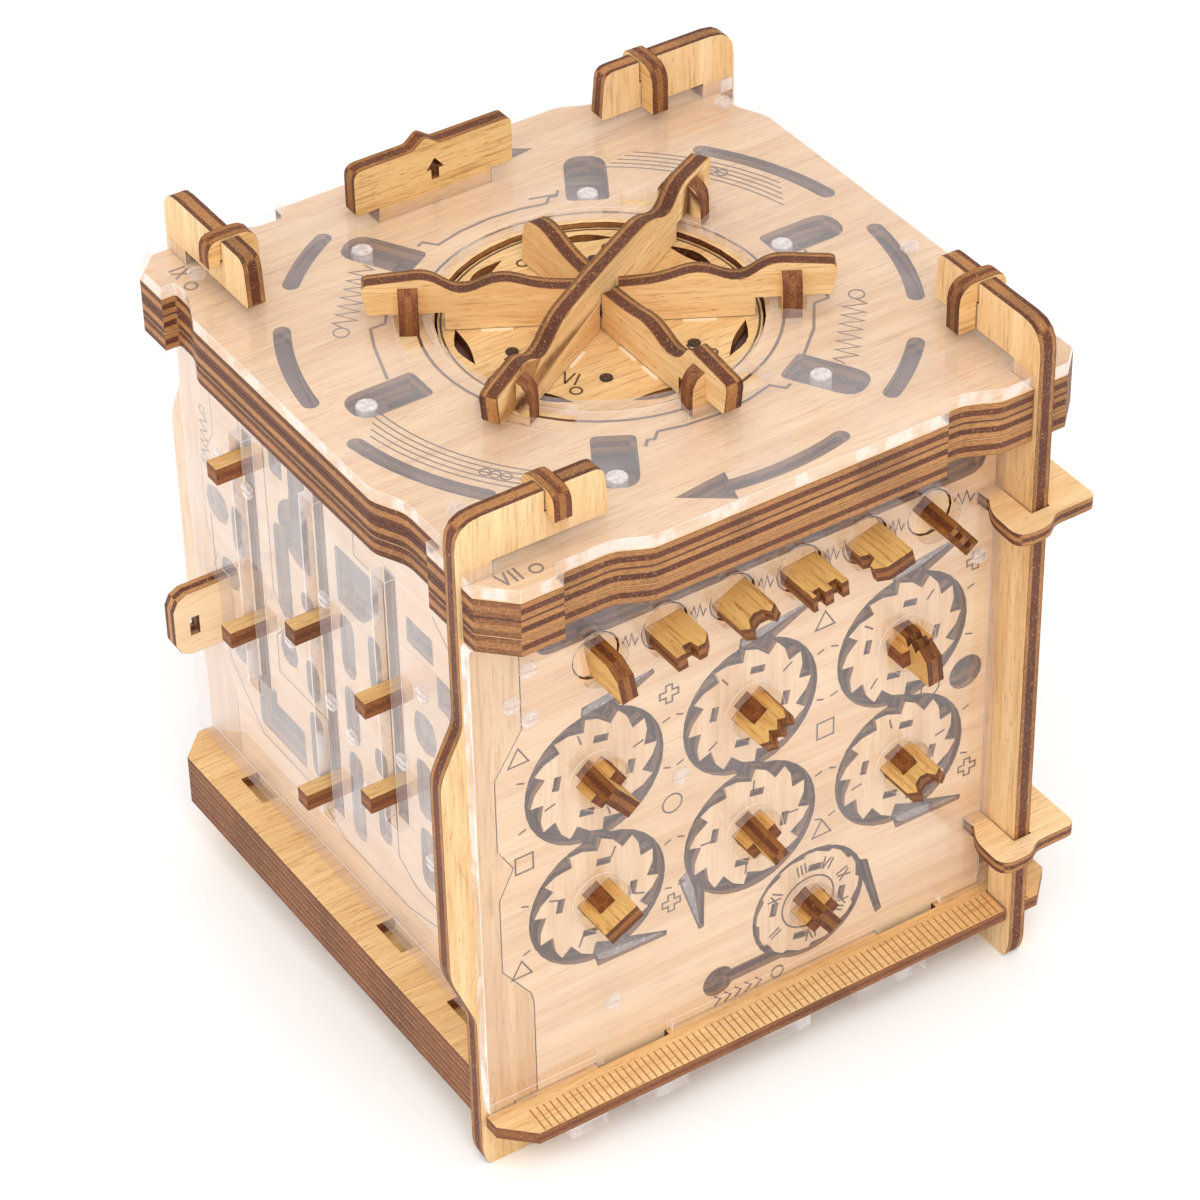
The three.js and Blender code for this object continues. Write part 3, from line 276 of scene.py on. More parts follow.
def acrylic(name, normal, haze=0.06, wall=0.4):
    """Clear acrylic sheet: faces that mirror the room, and rims and cut edges painted bright with a
    whitish film, a painted highlight in place of the light that the edges pipe.

    haze says how hazy the faces look, partly the sheet's own haze and specks and partly a painted
    reflection of the bright room; wall says how bright the painted highlight on the cut edges is."""
    s = Shader(name)
    facing = s.maths("ABSOLUTE", s.dot(s.own_normal(), normal))
    flat = s.step(facing, 0.9, 0.985)
    upright = s.step(facing, 0.02, 0.2, 1.0, 0.0)
    # the faces' haze is mottled: partly specks on the sheet, partly painted reflection
    dust_and_reflection = s.noise(s.along((60, 60, 60), (X, Y, Z)), 1.0, 3.0)
    # painted glints: patches of the cut edges' painted highlight are brighter than others
    glints = s.noise(s.along((170, 170, 90), (X, Y, Z)), 1.0, 2.0)
    painted_edge_glints = s.step(glints, 0.42, 0.6, wall * 0.35, min(wall * 1.5, 1.0))
    # painted highlight: slanted eased rims are painted almost white, and upright cut edges get the
    # glinting painted highlight
    edge = s.mix(upright, (0.85, 0.85, 0.85, 1), painted_edge_glints)
    film = s.mix(flat, edge, s.step(dust_and_reflection, 0.3, 0.8, haze * 0.7, haze * 1.4))
    return see_through(s, film, mirror_share(s))


def clear_solid(name):
    """Small clear plugs and pawls: nearly invisible from the front, with a painted white highlight round
    the rim where the surface turns away from view.
    """
    s = Shader(name)
    # painted highlight: the film turns white towards the rim as the surface turns away from view
    rim = s.node("ShaderNodeLayerWeight", {"Blend": 0.35}).outputs["Facing"]
    swirl = s.noise(s.along((900, 900, 900), (X, Y, Z)), 1.0, 2.0)
    haze = s.step(swirl, 0.5, 0.7, 0.0, 0.25)
    film = s.maths("ADD", s.step(rim, 0.25, 0.9, 0.12, 0.75), haze, clamp=True)
    return see_through(s, film, mirror_share(s, 0.12))


def white_pin(name):
    """The clear bolt posts: they look white where they stand in the light."""
    s = Shader(name)
    swirl = s.noise(s.along((900, 900, 900), (X, Y, Z)), 1.0, 2.0)
    return see_through(s, s.step(swirl, 0.35, 0.65, 0.6, 0.95), mirror_share(s, 0.12))


def backboard(name, shade, light):
    """Matt board seen through the openings, mottled between two colours; its greys are partly painted
    shade of the dim inside behind the clear covers.
    """
    s = Shader(name)
    mottle = s.noise(s.along((300, 300, 300), (X, Y, Z)), 1.0, 4.0)
    colour = s.mix(mottle, shade, light)
    bump = s.node("ShaderNodeBump", {"Height": mottle, "Strength": 0.15, "Distance": 0.0002})
    return s.finish(Base_Color=colour, Roughness=0.8, Normal=bump.outputs[0])


def metal(name):
    """Blackened steel."""
    s = Shader(name)
    wear = s.noise(s.along((800, 800, 800), (X, Y, Z)), 1.0, 3.0)
    colour = s.mix(wear, rgb(58, 50, 46), rgb(96, 86, 78))
    return s.finish(Base_Color=colour, Metallic=0.7, Roughness=0.45)


def ivory(name):
    """Pale cream colour, lightly mottled."""
    s = Shader(name)
    tint = s.noise(s.along((300, 300, 300), (X, Y, Z)), 1.0, 3.0)
    return s.finish(Base_Color=s.mix(tint, rgb(250, 238, 212), rgb(238, 216, 178)), Roughness=0.7)


def engraving(name, dark, light):
    """Laser-burnt line: brown, a little uneven."""
    s = Shader(name)
    burn = s.noise(s.along((1400, 1400, 1400), (X, Y, Z)), 1.0, 3.0)
    colour = s.mix(burn, dark, light)
    return s.finish(Base_Color=colour, Roughness=0.9)


BURN = engraving("burnt_line", rgb(70, 46, 36), rgb(128, 92, 68))
FAINT_BURN = engraving("faint_line", rgb(142, 92, 52), rgb(196, 146, 96))
CLEAR_SMALL = clear_solid("clear_plug")
WHITE_PIN = white_pin("bolt_post")
# grey partly painted shade: the dim inside behind the clear covers, seen through the openings
GREY_BOARD = backboard("grey_board", rgb(120, 84, 84), rgb(138, 102, 100))
# painted shade: a darker copy of the grey board for the deep recess behind the dial face
PAINTED_SHADE_BOARD = backboard("painted_shade_board", rgb(98, 58, 48), rgb(118, 76, 64))


def middle(node, normal):
    """(centre, thickness) of a node along a normal, in metres."""
    low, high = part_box(node)
    first, second = low.dot(normal), high.dot(normal)
    return (first + second) / 2, abs(second - first)


def soften(node, width=EASED):
    """Laser-cut corners are slightly eased, so each edge catches the light."""
    weld = node.modifiers.new("weld", "WELD")
    weld.merge_threshold = 1e-6
    bevel = node.modifiers.new("eased_edges", "BEVEL")
    bevel.width = width
    bevel.segments = 2
    bevel.limit_method = "ANGLE"
    bevel.angle_limit = math.radians(32)
    shading = node.modifiers.new("flat_faces", "WEIGHTED_NORMAL")
    shading.mode = "FACE_AREA"
    shading.weight = 100
    for polygon in node.data.polygons:
        polygon.use_smooth = True


def dress(name, *materials, width=EASED):
    node = NODES[name]
    node.data.materials.clear()
    for material in materials:
        node.data.materials.append(material)
    soften(node, width)
    return node


def sheet_ply(name, normal, grain, tone=1.0, **edges):
    centre, thickness = middle(name, normal)
    seed = sum(map(ord, name)) % 40
    return plywood("ply_" + name, normal, centre, thickness, grain, tone, seed, **edges)


def dress_sheet(name, normal, grain, tone=1.0, **edges):
    dress(name, sheet_ply(name, normal, grain, tone, **edges))


def assign(name, chooser):
    """Gives each polygon of a node the material slot that chooser picks from its centre in mm."""
    for polygon in NODES[name].data.polygons:
        polygon.material_index = chooser(polygon.center / MM, polygon.normal)


def dress_stack():
    for name in ("foot_sheet", "base_sheet_lower", "base_sheet_middle", "base_sheet_top"):
        dress_sheet(name, Z, X, TONE_AND_PAINTED_LIGHT["base"], even=0.7)
    for name in ("lid_bottom_sheet", "lid_top_sheet", "collar_upper", "collar_lower"):
        dress_sheet(name, Z, X, even=0.15)
    dress_sheet("turn_disc", Z, X, TONE_AND_PAINTED_LIGHT["disc"])
    # the middle sheet's top, seen through the lid's cut-outs, takes the grey board, partly painted shade
    dress("lid_middle_sheet", sheet_ply("lid_middle_sheet", Z, X), GREY_BOARD)
    assign("lid_middle_sheet", lambda centre, normal: 1 if normal.z > 0.9 else 0)


def dress_walls():
    for name, normal, grain in (("front", Y, X), ("left", X, Y), ("back", Y, X), ("right", X, Y)):
        dress_sheet(name + "_panel", normal, grain, TONE_AND_PAINTED_LIGHT["wall"])
    # each cover's normal, how hazy its faces are (partly the sheet's own haze, partly a painted
    # reflection of the bright room), and how bright the painted highlight is on the edges that face the
    # key light
    covers = {
        "front": (Y, 0.05, 0.45),
        "left": (X, 0.17, 0.75),
        "back": (Y, 0.06, 0.5),
        "right": (X, 0.06, 0.5),
        "lid": (Z, 0.1, 0.3),
        "base": (Z, 0.05, 0.18),
    }
    dim_edge = 0.07
    lit_side = Vector((-0.5, -0.85, 0))
    for name, (normal, haze, wall) in covers.items():
        # each cover gets a plain acrylic and a copy with a brighter painted highlight on its cut edges
        dim = acrylic(f"acrylic_{name}", normal, haze, dim_edge)
        painted_highlight = acrylic(f"acrylic_{name}_lit", normal, haze, wall)
        dress(name + "_cover", dim, painted_highlight, width=0.25 * MM)

        # upright edges that face the key light and the camera take the copy with the painted highlight
        def chooser(centre, facing, normal=normal):
            return 1 if abs(facing.dot(normal)) < 0.5 and facing.dot(lit_side) > 0.3 else 0

        assign(name + "_cover", chooser)
    # the front backboard is painted darker as shade in its deep recess
    dress("front_backboard", PAINTED_SHADE_BOARD)
    for name in ("left_backboard", "cam_plate"):
        dress(name, GREY_BOARD)


def dress_clamps():
    for corner, normal in (("front_left", Y), ("back_left", X), ("back_right", Y), ("front_right", X)):
        other = Y if normal is X else X
        dress_sheet("clamp_" + corner, normal, Z, TONE_AND_PAINTED_LIGHT["clamp"], core_share=0.5, even=0.2)
        dress_sheet("wedge_" + corner, other, normal, TONE_AND_PAINTED_LIGHT["wedge"], even=0.45)
    dress_sheet("arrow_plate", Y, X, TONE_AND_PAINTED_LIGHT["arrow"], core_share=0.5, even=0.3)


def dress_star():
    """Each bar's plies lie upright along it, and its cross tabs' plies lie across it."""
    sheet = PLY * MM
    beside = PLY / 2 + 0.05  # mm from a bar's middle plane: past this lies a cross tab
    underside = TOP / MM + 0.3  # the bars start above this height, and only tabs reach below it
    tab_inner = 36
    for name, angle in (("star_bar_upper", 30), ("star_bar_middle", 330), ("star_bar_lower", 270)):
        length = direction(angle)
        across = direction(angle + 90)
        core = {"core_share": 0.6, "even": 0.1}
        bar = plywood("ply_" + name, across, -0.55 * MM, sheet, length, TONE_AND_PAINTED_LIGHT["bar"], **core)
        tabs = []
        for end, at in (("far", TAB_AT * MM), ("near", -TAB_AT * MM)):
            lie = (length, at, sheet, across)
            tabs.append(plywood(f"ply_tab_{end}_{name}", *lie, TONE_AND_PAINTED_LIGHT["tab"], even=0.7))
        dress(name, bar, *tabs)

        def chooser(centre, normal, length=length, across=across):
            reach = centre.dot(length)
            below = centre.z < underside and abs(reach) > tab_inner
            if not below and abs(centre.dot(across)) <= beside:
                return 0
            return 1 if reach > 0 else 2

        assign(name, chooser)


def dress_front_pieces():
    """Dials and keys: a wheel or barrel in the panel, and a flat handle that stands out of it.

    The angles say how each handle's flat side is turned."""
    sheet = 3.8 * MM
    handle_half = 1.95  # mm from the middle plane of a handle to just past its faces
    joints = {joint["child"]: joint for joint in frame["joints"]}
    angles = {"selector_dial": 125}
    for kind, turns in (("dial", (130, 38, 97, 28, 118, 28)), ("key", (100, 8, 25, 6, 15, 128))):
        angles.update({f"{kind}_{n}": turn for n, turn in enumerate(turns, 1)})
    wall, depth = middle("front_panel", Y)
    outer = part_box("front_panel")[0].y / MM
    for name, angle in angles.items():
        axis = Vector(joints[name]["pos_m"])
        turn = math.radians(angle)
        flat = Vector((math.cos(turn), 0, math.sin(turn)))
        normal = Vector((-math.sin(turn), 0, math.cos(turn)))
        wheel = plywood("ply_wheel_" + name, Y, wall, depth, Z, TONE_AND_PAINTED_LIGHT["wall"])
        lie = (normal, axis.dot(normal), sheet, Y)
        handle = plywood("ply_handle_" + name, *lie, TONE_AND_PAINTED_LIGHT["handle"], even=0.45)
        lie = (flat, axis.dot(flat), sheet, Y)
        brace = plywood("ply_brace_" + name, *lie, TONE_AND_PAINTED_LIGHT["brace"], even=0.8)
        dress(name, wheel, handle, brace, width=0.2 * MM)

        def chooser(centre, facing, axis=axis / MM, normal=normal):
            if centre.y > outer - 0.1:
                return 0
            return 1 if abs((centre - axis).dot(normal)) < handle_half else 2

        assign(name, chooser)


def dress_sliders():
    for number in range(1, 7):
        name = f"slider_{number}"
        low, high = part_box(name)
        centre = (low.z + high.z) / 2
        dress(name, plywood("ply_" + name, Z, centre, PLY * MM, X, TONE_AND_PAINTED_LIGHT["block"], even=0.7))


def dress_bolts():
    """Grey carriages with white posts."""
    carriage_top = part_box("lid_middle_sheet")[1].z / MM + 0.1
    for number in range(1, 7):
        name = f"lock_bolt_{number}"
        dress(name, GREY_BOARD, WHITE_PIN, width=0.3 * MM)
        assign(name, lambda centre, normal: 1 if centre.z > carriage_top else 0)


# ------------------------------------------------------------------ small pieces


def add_mesh(name, vertices, faces, material, body):
    mesh = bpy.data.meshes.new(name)
    mesh.from_pydata(vertices, [], faces)
    mesh.update()
    piece = bpy.data.objects.new(name, mesh)
    bpy.context.scene.collection.objects.link(piece)
    mesh.materials.append(material)
    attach(piece, body)
    return piece


def ribbon(points, width, closed):
    """Left and right rims of a flat line through points, with mitred corners."""
    count = len(points)
    rims = []
    for i, point in enumerate(points):
        before = points[i - 1] if i or closed else None
        after = points[(i + 1) % count] if i + 1 < count or closed else None
        heading = [(point - before).normalized()] if before is not None else []
        heading += [(after - point).normalized()] if after is not None else []
        run = sum(heading, Vector((0, 0))).normalized()
        if run.length < 0.5:
            run = heading[-1]
        across = Vector((-run.y, run.x))
        slant = max(0.45, abs(across.dot(Vector((-heading[-1].y, heading[-1].x)))))
        reach = width / 2 / slant
        rims.append((point + across * reach, point - across * reach))
    return rims


LINE_HEIGHT = 0.07  # mm that a burnt line stands out of the wood, so that it can be seen


def engrave(name, face, strokes, width=0.42, material=BURN):
    """Draws strokes, each (points in mm, closed), on a face as thin closed ribbons."""
    vertices, faces = [], []
    for points, closed in strokes:
        points = [Vector(p) for p in points]
        rims = ribbon(points, width, closed)
        first = len(vertices)
        for left, right in rims:
            for side in (left, right):
                vertices.append(face.at(side.x, side.y, LINE_HEIGHT))
                vertices.append(face.at(side.x, side.y, -LINE_HEIGHT))
        count = len(rims)
        for i in range(count if closed else count - 1):
            a = first + 4 * i
            b = first + 4 * ((i + 1) % count)
            faces.append((a, a + 2, b + 2, b))
            faces.append((a + 1, b + 1, b + 3, a + 3))
            faces.append((a, b, b + 1, a + 1))
            faces.append((a + 2, a + 3, b + 3, b + 2))
        if not closed:
            last = first + 4 * (count - 1)
            faces.append((first, first + 1, first + 3, first + 2))
            faces.append((last, last + 2, last + 3, last + 1))
    return add_mesh(name, vertices, faces, material, face.body)


def ring(u, v, radius, start=0.0, end=360.0, count=28):
    closed = end - start >= 360
    steps = count if closed else count + 1
    points = []
    for n in range(steps):
        angle = math.radians(start + (end - start) * n / count)
        points.append((u + radius * math.cos(angle), v + radius * math.sin(angle)))
    return points, closed


def outline(points):
    return points, True


def line(points):
    return points, False


def spring(start, end, coils, amplitude, eye=1.6):
    """A zigzag between two points with a ring at its far end."""
    a, b = Vector(start), Vector(end)
    run = (b - a).normalized()
    across = Vector((-run.y, run.x))
    points = [a]
    for n in range(2 * coils):
        sign = 1 if n % 2 == 0 else -1
        points.append(a.lerp(b, (n + 1) / (2 * coils + 1)) + across * amplitude * sign)
    points.append(b)
    far = b + run * eye
    return [line([tuple(p) for p in points]), ring(far.x, far.y, eye, count=16)]


def turned(x, y, degrees, u=0.0, v=0.0):
    """The point x, y turned about the origin and then shifted by u, v."""
    c, s = math.cos(math.radians(degrees)), math.sin(math.radians(degrees))
    return u + x * c - y * s, v + x * s + y * c


def polygon_symbol(u, v, radius, corners, turn):
    points = []
    for n in range(corners):
        angle = math.radians(turn + 360 * n / corners)
        points.append((u + radius * math.cos(angle), v + radius * math.sin(angle)))
    return outline(points)


def plus_symbol(u, v, size=2.2, arm=0.75):
    corners = []
    for turn in range(4):
        for x, y in ((size, -arm), (size, arm), (arm, arm)):
            corners.append(turned(x, y, 90 * turn, u, v))
    return outline(corners)


# A numeral's strokes in mm, each from foot to head or head to foot, and its width with its gap.
NUMERAL_STROKES = {
    "I": [((0, 0), (0, 4))],
    "V": [((-1.1, 4), (0, 0)), ((0, 0), (1.1, 4))],
    "X": [((-1.1, 0), (1.1, 4)), ((-1.1, 4), (1.1, 0))],
}
NUMERAL_WIDTH = {"I": 1.3, "V": 2.9, "X": 2.9}


def numeral(text, u, v, turn=0.0, scale=1.0):
    """Strokes of a roman numeral centred at u, v."""
    total = sum(NUMERAL_WIDTH[letter] for letter in text)
    strokes = []
    at = -total / 2
    for letter in text:
        at += NUMERAL_WIDTH[letter] / 2
        for stroke in NUMERAL_STROKES[letter]:
            points = [turned((at + x) * scale, (y - 2) * scale, turn, u, v) for x, y in stroke]
            strokes.append(line(points))
        at += NUMERAL_WIDTH[letter] / 2
    return strokes


def extrude(name, face, points, low, high, material, bevel=0.15):
    """A flat plate on a face, between two heights in mm."""
    count = len(points)
    vertices = [face.at(u, v, low) for u, v in points] + [face.at(u, v, high) for u, v in points]
    faces = [tuple(reversed(range(count))), tuple(range(count, 2 * count))]
    for i in range(count):
        j = (i + 1) % count
        faces.append((i, j, count + j, count + i))
    piece = add_mesh(name, vertices, faces, material, face.body)
    if bevel:
        edge = piece.modifiers.new("bevel", "BEVEL")
        edge.width = bevel * MM
        edge.segments = 2
        edge.limit_method = "ANGLE"
    return piece


SLOT_HALF = 0.28  # mm, half the width of the slot across a clear pin's head


def plug(name, face, u, v, radius=1.9, height=0.9):
    """A clear push-in pin: a low disc with a slotted, slightly domed head."""
    vertices, faces = [], []
    count = 20
    for sign in (1, -1):
        first = len(vertices)
        rim = []
        for n in range(count // 2 + 1):
            angle = math.pi * n / (count // 2)
            rise = max(0.0, math.sin(angle)) * (radius - SLOT_HALF)
            rim.append((radius * math.cos(angle), SLOT_HALF + rise))
        levels = ((1.0, -0.2), (1.0, height * 0.55), (0.86, height * 0.85), (0.6, height))
        for share, z in levels:
            for x, y in rim:
                off = SLOT_HALF + (y - SLOT_HALF) * share
                vertices.append(face.at(u + x * share, v + sign * off, z))
        size = len(rim)
        for level in range(len(levels) - 1):
            for n in range(size):
                m = (n + 1) % size
                quad = [first + level * size + n, first + level * size + m]
                quad += [first + (level + 1) * size + m, first + (level + 1) * size + n]
                faces.append(tuple(quad if sign > 0 else reversed(quad)))
        bottom = tuple(first + n for n in range(size))
        top = tuple(first + (len(levels) - 1) * size + n for n in range(size))
        faces.append(tuple(reversed(bottom)) if sign > 0 else bottom)
        faces.append(top if sign > 0 else tuple(reversed(top)))
    return add_mesh(name, vertices, faces, CLEAR_SMALL, face.body)


# ------------------------------------------------------------------ what is drawn where


def arc_line(radius, start, end, count=24):
    return ring(0, 0, radius, start, end, count)


def polar(radius, degrees):
    return radius * math.cos(math.radians(degrees)), radius * math.sin(math.radians(degrees))


def staves(start, end, radius_low, lines=5, gap=1.5):
    """Parallel arcs like the lines of a music stave, each a little shorter than the one inside."""
    arcs = []
    for n in range(lines):
        arcs.append(arc_line(radius_low + gap * n, start + 1.5 * n, end - 1.5 * n, 18))
    return arcs


def lid_paths():
    """Cut lines that link the radial windows round the star, stepping in and out."""
    paths = [arc_line(44.5, 68, 76, 8), arc_line(36.8, 0, 360, 64)]
    for turn in (0, 180):
        across = [(46, 67.6), (44, 68.6), (44, 70.5)]
        across += [(41.8, angle) for angle in (72, 80, 90, 100, 109)]
        across += [(45, 110.5), (45, 112.6)]
        side = [(43, 126), (43, 138), (43, 150), (46, 152), (46, 160), (47, 174)]
        for stops in (across, side):
            paths.append(line([polar(radius, angle + turn) for radius, angle in stops]))
    return paths


def engrave_lid():
    strokes = []
    for sign in (1, -1):
        strokes += spring((-30 * sign, 42 * sign), (-45 * sign, 25 * sign), 7, 2.4)
    strokes += staves(12, 56, 54.0)
    strokes += staves(183, 232, 54.0)
    for angle in (30, 214):
        for n in range(3):
            strokes.append(ring(*polar(57, angle + 2.2 * n), 1.1, count=10))
    engrave("lid_engraving", LID, strokes, 0.3)
    engrave("lid_paths", LID, lid_paths(), 0.62)
    marks = []
    corners = (("VII", -61, -62, 0), ("VI", 62, -58, 90), ("XII", 61, 62, 180), ("IX", -62, 61, 270))
    for text, u, v, turn in corners:
        marks += numeral(text, u, v, turn, 0.95)
        marks.append(ring(*turned(5.6, -0.6, turn, u, v), 1.3, count=14))
    engrave("lid_numerals", LID, marks, 0.5)


def engrave_disc():
    strokes = []
    for text, angle in (("VI", 221), ("XI", 350), ("III", 48), ("V", 90), ("VIII", 188), ("IX", 292)):
        u, v = polar(21.6, angle)
        strokes += numeral(text, u, v, angle + 90, 0.95)
        u, v = polar(25.4, angle + 5)
        strokes.append(ring(u, v, 1.2, count=14))
    strokes.append(arc_line(32.0, 0, 360, 64))
    engrave("disc_engraving", DISC, strokes, 0.42)


def add_disc_screws():
    """Dark screw heads between the arms, and pale strips along the feet of the bars, each on the side of
    its bar that faces the camera.
    """
    steel = metal("screw_steel")
    for number, angle in enumerate((0, 60, 120, 180, 240, 300), 1):
        u, v = polar(20.9, angle)
        rim, _ = ring(u, v, 1.35, count=18)
        extrude(f"disc_screw_{number}", DISC, rim, -0.6, 0.35, steel, 0.12)
        cross = [line([(u - 0.8, v - 0.5), (u + 0.8, v + 0.5)])]
        cross.append(line([(u - 0.5, v + 0.8), (u + 0.5, v - 0.8)]))
        slot = Face(DISC.origin + Vector((0, 0, 0.38 * MM)), X, Y, DISC.body)
        engrave(f"disc_screw_slot_{number}", slot, cross, 0.35)
    pale = ivory("pale_strip")
    strips = [(330, -1, 16.4, 23.2), (150, 1, 17.5, 23.9), (270, -1, 11, 16.5)]
    strips += [(270, -1, 19, 24.1), (210, 1, 12, 18)]
    for number, (angle, side, near, far) in enumerate(strips, 1):
        low, high = sorted((2.12 * side, 2.95 * side))
        corners = ((near, low), (far, low), (far, high), (near, high))
        points = [turned(x, y, angle) for x, y in corners]
        extrude(f"disc_strip_{number}", DISC, points, -0.3, 0.2, pale, 0.0)


def tick_marks(u, v, inner, outer, count, turn):
    strokes = []
    for n in range(count):
        angle = math.radians(turn + 360 * n / count)
        c, s = math.cos(angle), math.sin(angle)
        strokes.append(line([(u + inner * c, v + inner * s), (u + outer * c, v + outer * s)]))
    return strokes


def engrave_front():
    strokes = []
    for u, v in ((-24, -50), (51, -50), (-24, -105), (51, -105)):
        strokes.append(plus_symbol(u, v))
    for u, v in ((-59, -50), (13.5, -49), (-60, -105), (13.5, -104)):
        strokes.append(polygon_symbol(u, v, 2.7, 3, -30))
    for u, v in ((-58.5, -77), (14, -77)):
        strokes.append(polygon_symbol(u, v, 2.9, 4, 45))
    for u, v in ((-23.5, -78.5), (40.5, -78.5)):
        strokes.append(ring(u, v, 2.3))
    between = [(left + 6.2, right - 6.2) for left, right in zip(KEY_COLUMNS, KEY_COLUMNS[1:])]
    for start, end in between + [(44.8, 50)]:
        zigzag, _ = spring((start, KEY_ROW), (end, KEY_ROW), 2, 1.5, 0.01)
        strokes.append(zigzag)
    for n in range(5):
        u = -13.5 + 2.6 * n
        strokes.append(line([(u, -136.9), (u + 1.6, -138.3), (u, -139.7)]))
    strokes.append(ring(2.6, -138.2, 1.5))
    for u in DIAL_COLUMNS:
        for v in DIAL_ROWS:
            for angle in (20, 160, 200, 340):
                c, s = math.cos(math.radians(angle)), math.sin(math.radians(angle))
                strokes.append(line([(u + 17.2 * c, v + 17.2 * s), (u + 19.0 * c, v + 19.0 * s)]))
    engrave("front_engraving", FRONT, strokes, 0.36)


def engrave_dials():
    joints = {joint["child"]: joint for joint in frame["joints"]}
    for number in range(1, 7):
        name = f"dial_{number}"
        axis = Vector(joints[name]["pos_m"])
        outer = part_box("front_panel")[0].y + 0.15 * MM
        face = Face(Vector((axis.x, outer, axis.z)), X, Z, name)
        engrave(f"dial_ticks_{number}", face, tick_marks(0, 0, 9.6, 12.2, 4, 17 * number), 0.4)
    axis = Vector(joints["selector_dial"]["pos_m"])
    face = Face(Vector((axis.x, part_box("front_panel")[0].y + 0.15 * MM, axis.z)), X, Z, "selector_dial")
    strokes = []
    hours = {"III": 100, "VI": 60, "IX": 20, "XII": 330, "IV": 275, "II": 210, "XI": 150}
    for text, angle in hours.items():
        u, v = polar(9.6, angle)
        strokes += numeral(text, u, v, angle - 90, 0.75)
    strokes.append(ring(0, 0, 6.6))
    engrave("selector_engraving", face, strokes, 0.4)


def engrave_left():
    strokes = []
    strokes += spring((-62, -54), (-62, -40), 5, 1.6, 1.0)
    strokes += spring((33.5, -113), (33.5, -88), 6, 1.8, 1.4)
    around = [(-62, -66), (-62, -92), (-58, -104), (-46, -116), (-24, -116), (-12, -122), (14, -122)]
    around += [(30, -118), (45, -118), (45, -46), (30, -34)]
    corner = [(-50, -56), (-50, -44), (-46, -38), (-46, -30)]
    middle_path = [(-36, -30), (-36, -70), (-30, -76), (-36, -82), (-36, -92), (-16, -92), (-16, -120)]
    near = [(0, -30), (0, -38), (11, -38), (11, -110), (18, -114), (28, -114), (28, -74)]
    strokes += [line(points) for points in (around, corner, middle_path, near)]
    engrave("left_engraving", LEFT, strokes, 0.36)


def engrave_base():
    """Comb of fine lines along the strip of the base that shows in front of the dial face."""
    strokes = []
    for n in range(78):
        u = -62 + n * 1.6
        strokes.append(line([(u, -69.8), (u + 0.35, -63.2)]))
    engrave("base_hatching", BASE, strokes, 0.3, material=FAINT_BURN)


def add_plugs():
    front = [(-58, -26), (-58, -38), (-62, -33), (-23.5, -69), (-40.5, -121), (49.5, -46)]
    lid = [(-61.5, 54.5), (-60, -42.5), (62.5, 47), (62, -20)]
    left = [(-49, -42), (-38, -44), (-24, -74), (-24, -117.5), (-8, -53), (-8, -80), (0, -84)]
    left += [(20.6, -76.0), (30, -52), (30.5, -96), (6, -94), (40, -82)]
    places = []
    for face, spots in ((FRONT_COVER, front), (LID_COVER, lid), (LEFT_COVER, left)):
        places += [(face, u, v) for u, v in spots]
    for number, (face, u, v) in enumerate(places, 1):
        plug(f"clear_pin_{number}", face, u, v)


def add_pawls():
    """Clear pointed pawls lying in the wedge-shaped openings beside the dials."""
    wedge = [(-1.9, 15.8), (-2.0, 17.2), (0.0, 18.2), (13.4, 20.1), (13.0, 19.5), (3.5, 16.6)]
    upper, lower = DIAL_ROWS
    places = [(u, upper, 0, 1) for u in DIAL_COLUMNS]
    places += [(u, lower, turn, -1) for u, turn in zip(DIAL_COLUMNS, (187, 115, 187))]
    for number, (u, v, turn, mirror) in enumerate(places, 1):
        points = [turned(x * mirror, y, turn, u, v) for x, y in wedge]
        if mirror > 0:
            points.reverse()
        extrude(f"pawl_{number}", FRONT, points, -3.4, -0.4, CLEAR_SMALL)


# ------------------------------------------------------------------ stage


def add_floor():
    s = Shader("floor_paper")
    speck = s.noise(s.along((40, 40, 40), (X, Y, Z)), 1.0, 2.0)
    colour = s.mix(speck, rgb(250, 250, 250), rgb(252, 252, 252))
    material = s.finish(Base_Color=colour, Roughness=0.9, Specular_IOR_Level=0.1)
    mesh = bpy.data.meshes.new("floor")
    reach = 6.0
    corners = [(x * reach, y * reach, 0) for x, y in ((-1, -1), (1, -1), (1, 1), (-1, 1))]
    mesh.from_pydata(corners, [], [(0, 1, 2, 3)])
    mesh.materials.append(material)
    floor = bpy.data.objects.new("floor", mesh)
    bpy.context.scene.collection.objects.link(floor)


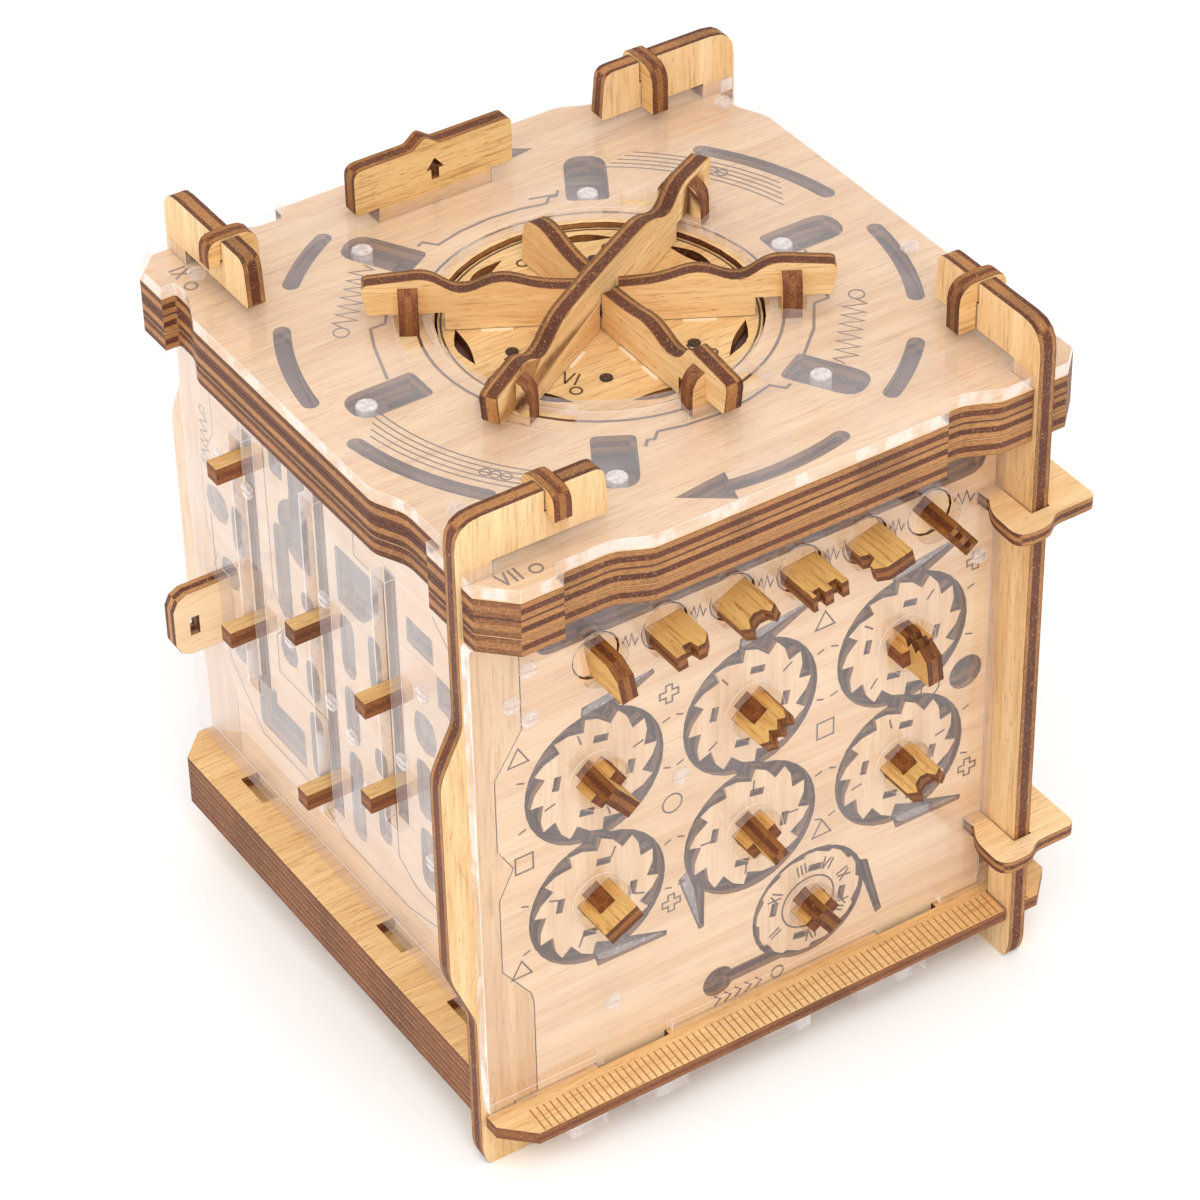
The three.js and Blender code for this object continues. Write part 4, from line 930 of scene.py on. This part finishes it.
def add_light(name, place, target, size, power):
    data = bpy.data.lights.new(name, "AREA")
    data.shape = "SQUARE"
    data.size = size
    data.energy = power
    lamp = bpy.data.objects.new(name, data)
    lamp.location = place
    lamp.rotation_euler = (Vector(target) - Vector(place)).to_track_quat("-Z", "Y").to_euler()
    lamp.visible_glossy = False
    bpy.context.scene.collection.objects.link(lamp)


def light_studio():
    world = bpy.data.worlds.new("studio")
    world.use_nodes = True
    background = world.node_tree.nodes["Background"]
    background.inputs["Color"].default_value = (1.0, 1.0, 1.0, 1.0)
    background.inputs["Strength"].default_value = 0.78
    bpy.context.scene.world = world
    centre = (0, 0, 0.08)
    add_light("key", (-0.3, -0.75, 1.05), centre, 0.8, 7.0)
    add_light("left", (-1.0, -0.1, 0.55), centre, 0.8, 3.0)
    add_light("fill", (0.95, -0.35, 0.6), centre, 0.9, 2.0)
    add_light("rim", (0.1, 0.9, 0.9), centre, 0.7, 2.0)


def add_camera():
    """The photograph's viewing angle: turned, tilted and rolled about the centre of view."""
    turn, tilt, roll = math.radians(-32.578), math.radians(38.312), math.radians(-1.291)
    level = Vector((math.cos(turn), math.sin(turn), 0))
    back = Vector((math.sin(turn) * math.cos(tilt), -math.cos(turn) * math.cos(tilt), math.sin(tilt)))
    rise = back.cross(level)
    right = level * math.cos(roll) + rise * math.sin(roll)
    up = rise * math.cos(roll) - level * math.sin(roll)
    data = bpy.data.cameras.new("camera")
    data.sensor_width = 36.0
    data.lens = 132.0
    camera = bpy.data.objects.new("camera", data)
    place = Matrix.Translation((-0.39207, -0.61119, 0.65164))
    camera.matrix_world = place @ Matrix((right, up, back)).transposed().to_4x4()
    bpy.context.scene.collection.objects.link(camera)
    bpy.context.scene.camera = camera


dress_stack()
dress_walls()
dress_clamps()
dress_star()
dress_front_pieces()
dress_sliders()
dress_bolts()
engrave_lid()
engrave_disc()
add_disc_screws()
engrave_front()
engrave_dials()
engrave_left()
engrave_base()
add_plugs()
add_pawls()
add_floor()
light_studio()
add_camera()
bpy.context.scene.view_settings.view_transform = "Standard"
